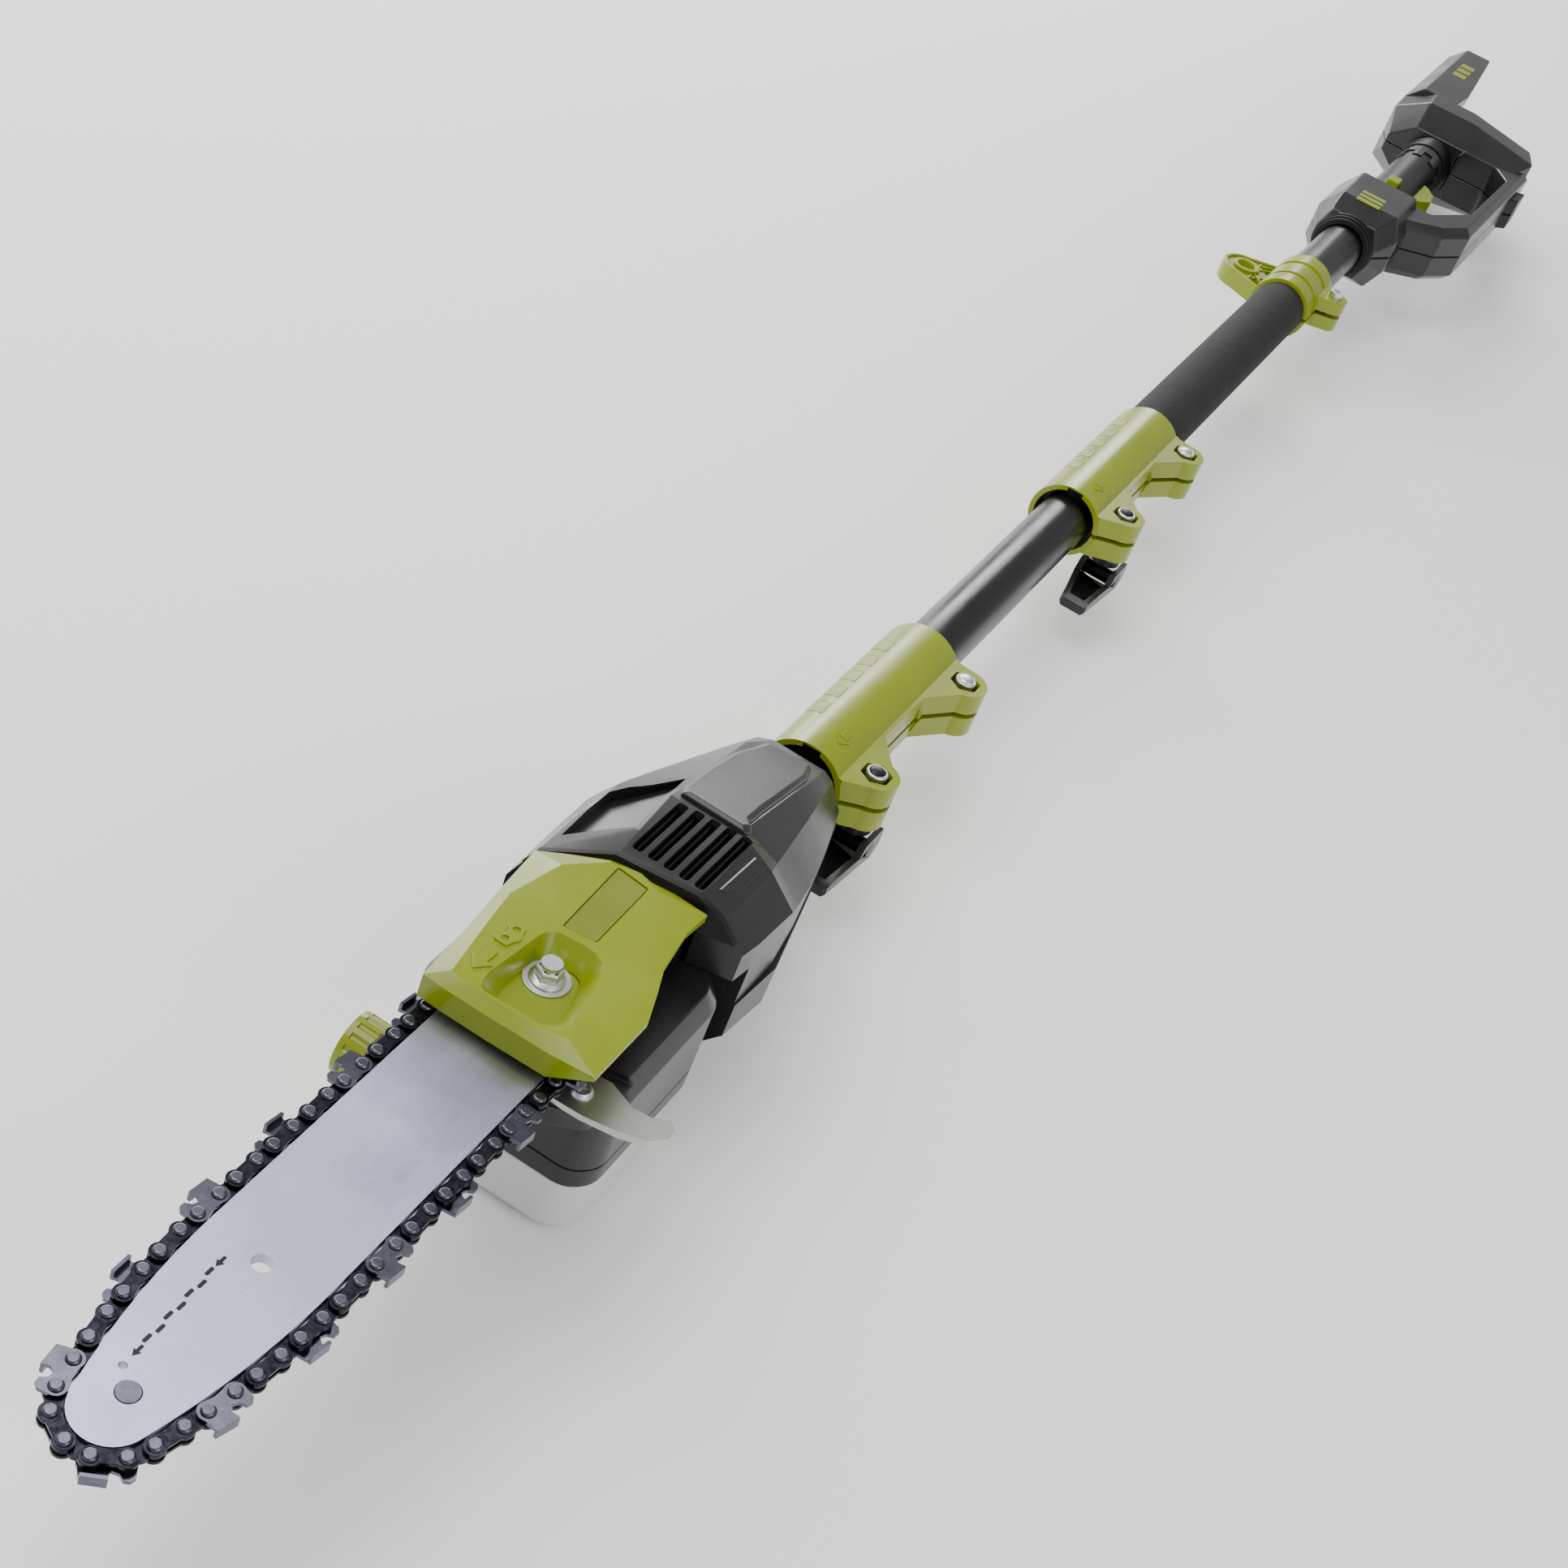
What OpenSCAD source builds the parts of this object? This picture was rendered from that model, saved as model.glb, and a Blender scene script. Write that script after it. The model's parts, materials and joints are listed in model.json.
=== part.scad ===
// Telescoping pole saw, lying on its right-hand side with the guide bar on top.
// X runs from the bar nose (negative) to the battery dock (positive), parallel to the pole.
// Y points to the side of the pole that carries the strap eye, away from the trigger.
// Z points up, out of the face of the saw that carries the chain cover.
// The origin is the centre of the strap eye; the pole axis runs below it in Y.

/* [Pole] */
// Outer radius of the front tube
front_tube_r = 12.7; // [11:0.1:13.2]
// Wall of every tube
tube_wall = 1.4; // [1:0.1:1.8]
// Radial gap between one tube and the next
tube_gap = 0.3; // [0.2:0.05:0.5]
// Travel of each telescoping section
travel = 400; // [250:10:420]
// Length of tube that stays inside the next one at full reach
overlap = 110; // [80:5:130]
// Thickness of the soft sleeve on the outer tube
foam_wall = 1.3; // [0.8:0.1:1.6]
// Distance from the strap eye to the mouth of the rear clamp
rear_clamp_reach = 416; // [380:1:460]
// Distance between the mouths of the two clamps
clamp_spacing = 316; // [250:1:380]

/* [Clamps] */
// Outer radius of a clamp sleeve
sleeve_r = 20; // [19.5:0.1:22]
// Length of a clamp sleeve
sleeve_len = 128; // [120:1:140]
// Length of the mouth that takes the split liner
mouth_len = 72; // [60:1:80]
// Distance from the pole axis to the lug bolts
lug_drop = 27; // [26:0.5:30]
// Half of the width over the lugs
lug_half = 12; // [11:0.5:13]
// Radius of the clamp bolts
bolt_r = 3; // [2.5:0.1:3.5]

/* [Strap eye] */
// Distance from the pole axis to the centre of the eye
eye_rise = 35; // [33:0.5:42]
// Radius of the hole in the eye
eye_r = 6; // [4:0.5:7.5]
// Thickness of the eye plate
eye_plate = 6; // [4:0.5:8]

/* [Cutting head] */
// Number of drive links in the chain
drive_links = 36; // [32:4:40]
// Distance between every second rivet of the chain
chain_pitch = 19.05; // [19.05:0.05:19.05]
// Distance between the chain rivet line and the edge of the bar
rail_gap = 3.9; // [3.7:0.1:4.2]
// Half of the width between the two runs of the chain, rivet to rivet
run_half = 26.2; // [25:0.1:27]
// Thickness of the guide bar
bar_t = 4.2; // [4:0.1:4.6]
// Height of the bar's mid-plane over the pole axis
bar_z = 33; // [32.5:0.1:33.5]
// Radius of the stud that holds the bar
stud_r = 4; // [3:0.5:4]
// Height of the chain cover's face over the pole axis
cover_z = 52; // [51:0.5:54]
// Height of the top of the gear housing over the pole axis
housing_z = 20; // [18:0.5:20]
// Depth of the clear oil tank
tank_depth = 28; // [20:1:34]
// Radius of the oil cap
cap_r = 14; // [12:0.5:16]

/* [Rear handle] */
// Radius of the hand grip
grip_r = 17.5; // [17:0.1:19]
// Length of the grip between the collar and the battery body
grip_len = 160; // [150:1:175]
// Depth of the hand opening below the pole axis
loop_drop = 62; // [56:1:70]
// Half of the width of the guard loop
loop_half = 21; // [18:0.5:24]
// Half of the width of the battery body
body_half = 35; // [33:0.5:38]
// Length of the battery rails
rail_len = 145; // [110:1:160]

/* [Hidden] */
$fn = 64;
fit = 0.05;
run = 0.08;
gap = 0.3;
eps = 0.01;

// Tubes, from the inside out.
mid_bore = front_tube_r + tube_gap;
mid_tube_r = mid_bore + tube_wall + 0.1;
outer_bore = mid_tube_r + tube_gap;
outer_tube_r = outer_bore + tube_wall;
foam_r = outer_tube_r + foam_wall;

// Stations along the pole.
rear_mouth_x = -rear_clamp_reach;
front_mouth_x = rear_mouth_x - clamp_spacing;
outer_front_x = rear_mouth_x + mouth_len;
mid_front_x = front_mouth_x + mouth_len;
mid_rear_x = outer_front_x + overlap + travel;
front_rear_x = mid_front_x + overlap + travel;
bush_flange = 8;
bush_spigot = 20;
outer_rear_x = mid_rear_x + bush_flange + 4;
lug1_x = 17;
lug2_x = sleeve_len - 13;
lug_r = 11;
slit_half = 1.3;
liner_r = 17.3;
pivot_z = -(lug_half + 14);
cam_r = 8;

// Stations of the head, measured from the sprocket axis.
head_gap = 12;
tail_x = 163;
head_x = front_mouth_x - head_gap - tail_x;
bar_y = -1;
sprocket_r = 18.4;
strap_pitch = 10.35;
nose_r = 17;
nose_beta = 14;
flank_r = (run_half - nose_r * cos(nose_beta)) / (1 - cos(nose_beta));
shoulder_x = -39;
shoulder_d = norm([shoulder_x, run_half]);
leave_len = sqrt(shoulder_d * shoulder_d - sprocket_r * sprocket_r);
leave_a = atan2(run_half, shoulder_x) - acos(sprocket_r / shoulder_d);
tip_len = nose_r * (90 - nose_beta) * PI / 180;
flank_len = flank_r * nose_beta * PI / 180;
arc_len = sprocket_r * leave_a * PI / 180;
half_len = drive_links * chain_pitch / 2;
straight_len = half_len - tip_len - flank_len - leave_len - arc_len;
flank_x = nose_r * (1 - sin(nose_beta)) + flank_r * sin(nose_beta);
nose_x = shoulder_x - straight_len - flank_x;
nut_x = -56;
link_t = 1.3;
strap_t = 1.4;
layer = link_t / 2 + 0.1;
strap_top = layer + strap_t;

// Stations of the handle, measured from the strap eye.
socket_len = 52;
collar_x = outer_rear_x - socket_len;
collar_len = 75;
grip_x = collar_x + collar_len;
body_x = grip_x + grip_len;
body_len = 50;
dock_x = body_x + body_len;
dock_end = dock_x + rail_len;
dock_y = 44;
trigger_x = grip_x + 47;
trigger_y = -10;
button_x = grip_x + 32;

module pole() { translate([0, -eye_rise, 0]) children(); }
module head() { pole() translate([head_x, 0, 0]) children(); }
module along_x(x0, x1, r) { translate([x0, 0, 0]) rotate([0, 90, 0]) cylinder(r = r, h = x1 - x0); }
module tube(x0, x1, r, bore) {
    difference() {
        along_x(x0, x1, r);
        along_x(x0 - 1, x1 + 1, bore);
    }
}
module plate(points, z0, z1) { translate([0, 0, z0]) linear_extrude(z1 - z0) polygon(points); }
module block(x0, x1, y0, y1, z0, z1) { translate([x0, y0, z0]) cube([x1 - x0, y1 - y0, z1 - z0]); }
module section(x, points) {
    translate([x, 0, 0]) rotate([90, 0, 90]) linear_extrude(eps) polygon(points);
}

// ---- chain and bar ----

// A point of the chain's rivet line, s millimetres from the nose tip along the upper run,
// as [x, y, direction].
function on_tip(s) = let (b = 90 - s / nose_r * 180 / PI)
    [nose_x + nose_r - nose_r * sin(b), nose_r * cos(b), b];
function on_flank(s) = let (b = nose_beta - (s - tip_len) / flank_r * 180 / PI)
    [nose_x + flank_x - flank_r * sin(b), run_half - flank_r * (1 - cos(b)), b];
function on_straight(s) = [nose_x + flank_x + s - tip_len - flank_len, run_half, 0];
function on_leave(s) = let (t = s - tip_len - flank_len - straight_len)
    [shoulder_x + t * sin(leave_a), run_half - t * cos(leave_a), leave_a - 90];
function on_sprocket(s) = let (a = leave_a - (s - half_len + arc_len) / sprocket_r * 180 / PI)
    [sprocket_r * cos(a), sprocket_r * sin(a), a - 90];
function on_upper(s) = s < tip_len ? on_tip(s)
    : s < tip_len + flank_len ? on_flank(s)
    : s < tip_len + flank_len + straight_len ? on_straight(s)
    : s < half_len - arc_len ? on_leave(s)
    : on_sprocket(s);
function on_chain(s) = let (w = (s % (2 * half_len) + 2 * half_len) % (2 * half_len))
    w <= half_len ? on_upper(w) : let (p = on_upper(2 * half_len - w)) [p[0], -p[1], 180 - p[2]];
function rivet(i) = let (k = floor(i / 2))
    on_chain(k * chain_pitch + (i % 2) * strap_pitch + 3);

// Places its children on the link between rivet i and the next, with X along the link, Y
// outwards from the bar and the origin on the first rivet. $span is the link's length.
module on_link(i) {
    a = rivet(i);
    b = rivet(i + 1);
    $span = norm([b[0] - a[0], b[1] - a[1]]);
    translate([a[0], bar_y + a[1], bar_z])
        rotate([0, 0, atan2(b[1] - a[1], b[0] - a[0])])
            children();
}
module link_holes(r) {
    for (x = [0, $span])
        translate([x, 0]) circle(r = r, $fn = 24);
}
rivet_r = 1.8;
module strap_outline() {
    difference() {
        union() {
            for (x = [0, $span])
                translate([x, 0]) circle(r = 3.5, $fn = 32);
            polygon([[0, -3.4], [$span / 2, -2.5], [$span, -3.4], [$span, 2.4], [0, 2.4]]);
        }
        link_holes(rivet_r + fit);
    }
}
module drive_outline() {
    difference() {
        union() {
            for (x = [0, $span])
                translate([x, 0]) circle(r = 3.1, $fn = 32);
            polygon([[0, -3], [1, -4.4], [2.4, -8], [$span - 3.2, -8], [$span - 0.6, -4.4],
                [$span, -3], [$span, 1.6], [$span / 2, 2.4], [0, 1.6]]);
        }
        link_holes(rivet_r + fit);
    }
}
// The cutter's side: a depth gauge in front, a gullet, then the tooth.
module cutter_outline() {
    difference() {
        union() {
            strap_outline();
            polygon([[-3.4, 0], [-3.1, 4.4], [-1.6, 5.8], [0.4, 5.6], [1.6, 3.4], [3.8, 2.6],
                [5.2, 4.6], [4.8, 7.4], [$span + 2.4, 6.6], [$span + 3.3, 0]]);
        }
        link_holes(rivet_r + fit);
    }
}
module chain_drive_links() {
    color("dimgray") head()
        for (i = [1 : 2 : 2 * drive_links - 1])
            on_link(i) translate([0, 0, -link_t / 2]) linear_extrude(link_t) drive_outline();
}
module strap(side) {
    translate([0, 0, side > 0 ? layer : -strap_top]) linear_extrude(strap_t) children();
}
function is_cutter(i, side) = (i / 2) % 4 == (side > 0 ? 1 : 3);
module chain_tie_straps() {
    color("slategray") head()
        for (i = [0 : 2 : 2 * drive_links - 2], side = [-1, 1])
            if (!is_cutter(i, side))
                on_link(i) strap(side) strap_outline();
}
module chain_cutters() {
    plate_w = 4.2;
    color("silver") head()
        for (i = [0 : 2 : 2 * drive_links - 2], side = [-1, 1])
            if (is_cutter(i, side))
                on_link(i) {
                    strap(side) cutter_outline();
                    translate([0, 0, side > 0 ? strap_top - plate_w : -strap_top])
                        linear_extrude(plate_w)
                            polygon([[4.8, 6.2], [4.8, 7.4], [$span + 2.4, 6.6], [$span + 2.4, 5.4]]);
                }
}
module chain_rivets() {
    head_r = 2.6;
    color("gainsboro") head()
        for (i = [0 : 2 * drive_links - 1])
            let (p = rivet(i))
                translate([p[0], bar_y + p[1], bar_z]) {
                    cylinder(r = rivet_r, h = 2 * strap_top + 0.4, center = true, $fn = 20);
                    for (side = [-1, 1])
                        translate([0, 0, side * (strap_top + 0.6)])
                            cylinder(r1 = side > 0 ? head_r : 1.9, r2 = side > 0 ? 1.9 : head_r,
                                h = 1, center = true, $fn = 20);
                }
}

// The bar's outline: a rounded nose, straight rails and a heel cut back for the sprocket.
bar_half = run_half - rail_gap;
heel_x = -23;
function bar_upper(inset) = concat(
    [for (s = [0 : 3 : tip_len + flank_len]) let (p = on_upper(s))
        [p[0] + (rail_gap + inset) * sin(p[2]), p[1] - (rail_gap + inset) * cos(p[2])]],
    [[shoulder_x, bar_half - inset], [heel_x - inset, 13]]);
module bar_outline(inset) {
    upper = bar_upper(inset);
    translate([0, bar_y])
        polygon(concat(upper, [for (i = [len(upper) - 1 : -1 : 1]) [upper[i][0], -upper[i][1]]]));
}
groove_half = layer;
groove_depth = 6.2;
nose_hole_x = nose_x + rail_gap + 20;
nose_disc_r = 8.4;
module guide_bar() {
    color("lavender") head() difference() {
        translate([0, 0, bar_z - bar_t / 2]) linear_extrude(bar_t) bar_outline(0);
        translate([0, 0, bar_z - groove_half]) linear_extrude(2 * groove_half) difference() {
            translate([nose_x - 10, -run_half - 10]) square([heel_x - nose_x + 20, 2 * run_half + 20]);
            bar_outline(groove_depth);
        }
        translate([nose_hole_x, bar_y, bar_z - groove_half]) cylinder(r = nose_disc_r + gap, h = 2 * groove_half);
        translate([nose_hole_x, bar_y, bar_z - 5]) cylinder(r = 4.1, h = 10);
        translate([nose_hole_x + 6, bar_y + 7, bar_z - 5]) cylinder(r = 1.4, h = 10);
        translate([nose_hole_x + 62, bar_y, bar_z - 5]) cylinder(r = 3.5, h = 10);
        for (x = [nut_x - 14, nut_x + 14])
            translate([x, bar_y, bar_z - 5]) cylinder(r = stud_r + 0.25, h = 10);
        block(nut_x - 14, nut_x + 14, bar_y - stud_r - 0.25, bar_y + stud_r + 0.25, bar_z - 5, bar_z + 5);
        translate([peg_x, peg_y, bar_z - 5]) cylinder(r = peg_r + 0.2, h = 10);
    }
}
peg_x = -34;
peg_y = 9;
peg_r = 2.6;
module nose_sprocket() {
    teeth = 10;
    color("gray") head() translate([nose_hole_x, bar_y, bar_z - link_t / 2]) difference() {
        union() {
            cylinder(r = nose_disc_r - 1.6, h = link_t);
            for (i = [0 : teeth - 1])
                rotate([0, 0, i * 360 / teeth]) translate([0, -0.9, 0]) cube([nose_disc_r - 0.2, 1.8, link_t]);
        }
        translate([0, 0, -1]) cylinder(r = 4 + run, h = link_t + 2);
    }
}
module nose_rivet() {
    color("lightslategray") head() translate([nose_hole_x, bar_y, bar_z - bar_t / 2 - 0.3]) {
        cylinder(r = 4, h = bar_t + 0.6);
    }
}

// ---- drive ----
gear_z = -12;
shaft_r = 5;
module sprocket_shaft() {
    color("silver") head() translate([0, bar_y, 0]) difference() {
        translate([0, 0, -24.4]) cylinder(r = shaft_r, h = bar_z + 8 + 24.4);
        translate([0, 0, bar_z + 5]) difference() {
            cylinder(r = shaft_r + 1, h = 1.1);
            cylinder(r = 4, h = 1.1);
        }
    }
}
module drive_sprocket() {
    rim_r = 14.4;
    color("dimgray") head() translate([0, bar_y, bar_z]) difference() {
        union() {
            translate([0, 0, -5]) cylinder(r = 9.4, h = 9);
            for (side = [-1, 1])
                translate([0, 0, side * (layer + 1.3)]) difference() {
                    cylinder(r = rim_r, h = 2.4, center = true);
                    for (i = [0 : 6])
                        rotate([0, 0, i * 360 / 7]) translate([11.8, 0, 0])
                            cylinder(r = 1.6, h = 4, center = true, $fn = 24);
                }
        }
        translate([0, 0, -6]) cylinder(r = shaft_r + fit, h = 12);
    }
}
module sprocket_clip() {
    color("black") head() translate([0, bar_y, bar_z + 5 + 0.1]) difference() {
        cylinder(r = 8, h = 0.9);
        translate([0, 0, -1]) cylinder(r = 4 + fit, h = 3);
        translate([0, -2.6, -1]) cube([10, 5.2, 3]);
    }
}
module crown_gear() {
    teeth = 28;
    color("darkgray") head() translate([0, bar_y, gear_z]) difference() {
        union() {
            translate([0, 0, -5]) cylinder(r = 24, h = 4);
            translate([0, 0, -5.9]) cylinder(r = 10, h = 5.9);
            for (i = [0 : teeth - 1])
                rotate([0, 0, i * 360 / teeth]) translate([17.5, -1.1, -1.2]) cube([6, 2.2, 6.4]);
        }
        translate([0, 0, -8]) cylinder(r = shaft_r + fit, h = 12);
    }
}
rotor_r = 14;
can_r = 22;
motor_x = 38;
motor_len = 66;
module motor_rotor() {
    teeth = 8;
    color("goldenrod") head() difference() {
        union() {
            along_x(motor_x - 21, motor_x + motor_len + 8, 2.5);
            along_x(motor_x + 8, motor_x + motor_len - 12, rotor_r);
            along_x(motor_x - 20, motor_x - 8, 6.4);
        }
        for (i = [0 : teeth - 1])
            rotate([i * 360 / teeth, 0, 0]) translate([motor_x - 20.5, 0, 6.6]) rotate([0, 90, 0])
                cylinder(r = 1.5, h = 13, $fn = 24);
    }
}
module motor_can() {
    color("slategray") head() difference() {
        along_x(motor_x, motor_x + motor_len, can_r);
        along_x(motor_x + 3, motor_x + motor_len - 3, rotor_r + 1);
        along_x(motor_x - 1, motor_x + motor_len + 1, 2.5 + run);
        for (a = [0 : 60 : 300])
            rotate([a, 0, 0]) translate([motor_x + motor_len - 12, -2, 15.5]) cube([8, 4, 10]);
    }
}
bearing_z = [9, -24.5];
module shaft_bearings() {
    color("gainsboro") head()
        for (z = bearing_z)
            translate([0, bar_y, z]) difference() {
                cylinder(r = 11, h = 6);
                translate([0, 0, -1]) cylinder(r = shaft_r + run, h = 8);
            }
}
module oil_pump() {
    color("ivory") head() {
        translate([-38, 14, -17]) cylinder(r = 7, h = 15);
        translate([-38, 14, -2]) cylinder(r = 3, h = 8);
        block(-38, -25, 12, 16, -8, -5);
    }
}

// ---- head casings ----
front_face_x = -69;
join_x = 31;
house_y = 46;
house_outline = [[front_face_x, -38], [front_face_x + 9, -house_y], [12, -house_y], [join_x - gap, -31],
    [join_x - gap, 36], [16, house_y], [-54, house_y], [front_face_x, 34]];
function inset_outline(w) = [[front_face_x + w, -38 + w / 2], [front_face_x + 9 + w / 2, -house_y + w],
    [12 - w / 2, -house_y + w], [join_x - gap - w, -31 + w / 2], [join_x - gap - w, 36 - w / 2],
    [16 - w / 2, house_y - w], [-54 + w / 2, house_y - w], [front_face_x + w, 34 - w / 2]];
split_z = -20;
base_z = -29;
tank_z = base_z - tank_depth;
ledge_z = housing_z - 3.2;
stud_floor = bar_z - bar_t / 2 - fit;
module gear_housing() {
    color("dimgray") head() difference() {
        union() {
            plate(house_outline, split_z, housing_z);
            plate([[-86, -14], [-74, -42], [-60, -44], [-60, 12], [-84, 12]], 8, housing_z);
            block(-84, -38, bar_y - 14, bar_y + 14, 8, stud_floor);
        }
        plate(inset_outline(3), split_z - 1, ledge_z - 1);
        translate([0, bar_y, ledge_z - 2]) cylinder(r = 8, h = 10);
        plate([[-92, -60], [-92, -20], [-62, -20], [-56, -28], [-52, -60]], ledge_z, housing_z + 1);
        translate([nut_x, bar_y, -8]) cylinder(r = stud_r + fit, h = 60);
        translate([hook_x, hook_y, 6]) cylinder(r = 2.1, h = 20);
        translate([-90, peg_y, screw_z]) rotate([0, 90, 0]) cylinder(r = 2.5 + 0.1, h = 70);
        block(peg_x - 8, peg_x + 8, peg_y - 3.6, peg_y + 3.6, screw_z - 3.2, stud_floor + 1);
        translate([20, 0, 0]) rotate([0, 90, 0]) cylinder(r = 8, h = 20);
    }
    color("dimgray") head() difference() {
        translate([0, bar_y, bearing_z[0] - 1]) cylinder(r = 13.5, h = ledge_z - bearing_z[0] + 0.5);
        translate([0, bar_y, bearing_z[0] - 2]) cylinder(r = 11 + fit, h = 8 + fit);
        translate([0, bar_y, 0]) cylinder(r = 8, h = 30);
    }
}
screw_z = 26;
module bar_tensioner() {
    color("silver") head() {
        translate([-82, peg_y, screw_z]) rotate([0, 90, 0]) cylinder(r = 2.5, h = 58);
        translate([peg_x, peg_y, screw_z - 2.9]) cylinder(r = peg_r, h = bar_z + bar_t / 2 - screw_z + 2.9);
        block(peg_x - 4, peg_x + 4, peg_y - 3.4, peg_y + 3.4, screw_z - 2.9, screw_z + 2.9);
    }
}
module bar_stud() {
    color("silver") head() translate([nut_x, bar_y, 0]) {
        translate([0, 0, ledge_z - 2]) cylinder(r = stud_r, h = cover_z - 0.5 - ledge_z + 2);
        translate([0, 0, ledge_z - 4.1]) cylinder(r = 7.5, h = 3, $fn = 6);
    }
}
pocket_z = 41;
module bar_nut() {
    color("whitesmoke") head() translate([nut_x, bar_y, pocket_z + 1.6]) difference() {
        union() {
            cylinder(r = 7.8, h = 1.6);
            translate([0, 0, 1.6]) cylinder(r = 6.8, h = 6, $fn = 6);
        }
        translate([0, 0, -1]) cylinder(r = stud_r + fit, h = 12);
    }
}
module nut_washer() {
    color("gainsboro") head() translate([nut_x, bar_y, pocket_z + fit]) difference() {
        cylinder(r = 9.2, h = 1.5);
        translate([0, 0, -1]) cylinder(r = stud_r + 0.3, h = 4);
    }
}
cover_outline = [[-92, 29], [-7, 37], [12, 14], [16, 0], [12, -29], [-3, -28], [-25, -31],
    [-39, -36], [-53, -41], [-90, -41]];
pad_outline = [[-89, 20], [-34, 31], [-9, 31], [6, 12], [9, 0], [3, -24], [-6, -26], [-38, -34], [-86, -38]];
pocket_outline = [[-86, 11], [-34, 7], [-33, -10], [-46, -19], [-84, -17]];
panel_box = [-36, 7, -9, 6];
module sprocket_cover() {
    color("yellowgreen") head() difference() {
        union() {
            plate(cover_outline, cover_z - 6, cover_z - 1.4);
            plate(pad_outline, cover_z - 5, cover_z);
            plate([[-92, 29], [-92, 25], [-6, 33], [-7, 37]], bar_z + 4.5, cover_z - 3);
            plate([[-24, 35.4], [-7, 37], [-4.5, 34], [-7, 33], [-24, 32]], housing_z + fit, cover_z - 3);
            plate([[-7, 37], [12, 14], [16, 0], [12, -29], [10, -29], [13.4, 0], [9.8, 12.6], [-7, 33]],
                bar_z + 4.5, cover_z - 3);
            plate([[-92, 29], [-90, -41], [-86, -41], [-86, 29]], bar_z + 4.5, cover_z - 3);
            plate([[-91, 14], [-30, 11], [-29, -13], [-44, -23], [-90, -21]], bar_z + 4.5, cover_z - 3);
            translate([nut_x, bar_y, stud_top]) cylinder(r = 12, h = pocket_z - stud_top);
        }
        plate(pocket_outline, pocket_z, cover_z + 1);
        translate([nut_x, bar_y, 20]) cylinder(r = stud_r + 0.3, h = 40);
        block(panel_box[0], panel_box[1], panel_box[2], panel_box[3], cover_z - 1.2, cover_z + 1);
        translate([0, bar_y, bar_z + 3]) cylinder(r = 13, h = 8.5);
    }
}
stud_top = bar_z + bar_t / 2 + fit;
module cover_panel() {
    color("olivedrab") head()
        block(panel_box[0] + 0.1, panel_box[1] - 0.1, panel_box[2] + 0.1, panel_box[3] - 0.1,
            cover_z - 1.2, cover_z - 0.3);
}
module housing_base() {
    color("dimgray") head() difference() {
        plate(house_outline, base_z, split_z - fit);
        plate(inset_outline(3), base_z + 6, split_z + 1);
        translate([0, bar_y, bearing_z[1]]) cylinder(r = 11 + fit, h = 20);
        translate([-40, 8, base_z - 1]) cylinder(r = 2, h = 20);
    }
    color("dimgray") head() {
        plate([[20, -40], [33, -34], [33, -12], [8, -12], [8, -40]], base_z - 8, base_z + 1);
    }
}
tank_outline = [[front_face_x, -36], [front_face_x + 9, -house_y + 1], [4, -house_y + 1], [6, 40],
    [-54, house_y - 1], [front_face_x, 32]];
module oil_tank() {
    wall = 2.4;
    color("white") head() difference() {
        union() {
            plate(tank_outline, tank_z, base_z - fit);
            translate([cap_x, house_y - 3, cap_z]) rotate([-90, 0, 0]) cylinder(r = 9, h = 9);
            block(cap_x - 11.5, cap_x + 11.5, 30, house_y - 1, cap_z - 12, base_z - fit);
        }
        plate([[front_face_x + wall, -35], [front_face_x + 10, -house_y + 1 + wall],
            [4 - wall, -house_y + 1 + wall], [6 - wall, 38], [-54, house_y - 1 - wall],
            [front_face_x + wall, 31]], tank_z + wall, base_z - wall);
        translate([cap_x, 20, cap_z]) rotate([-90, 0, 0]) cylinder(r = 6.6, h = 60);
    }
}
cap_x = -57;
cap_z = base_z - 9.5;
module oil_cap() {
    ridges = 16;
    color("yellowgreen") head() translate([cap_x, house_y + 6.6, cap_z]) rotate([-90, 0, 0]) {
        difference() {
            cylinder(r = cap_r - 0.6, h = 11);
            translate([0, 0, -1]) cylinder(r = 9 + run, h = 7);
            for (i = [0 : ridges - 1])
                rotate([0, 0, (i + 0.5) * 360 / ridges]) translate([cap_r + 0.6, 0, -1])
                    cylinder(r = 2, h = 9.5, $fn = 24);
        }
        translate([0, 0, -8]) cylinder(r = 6.6 - run, h = 14.5);
    }
}
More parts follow.
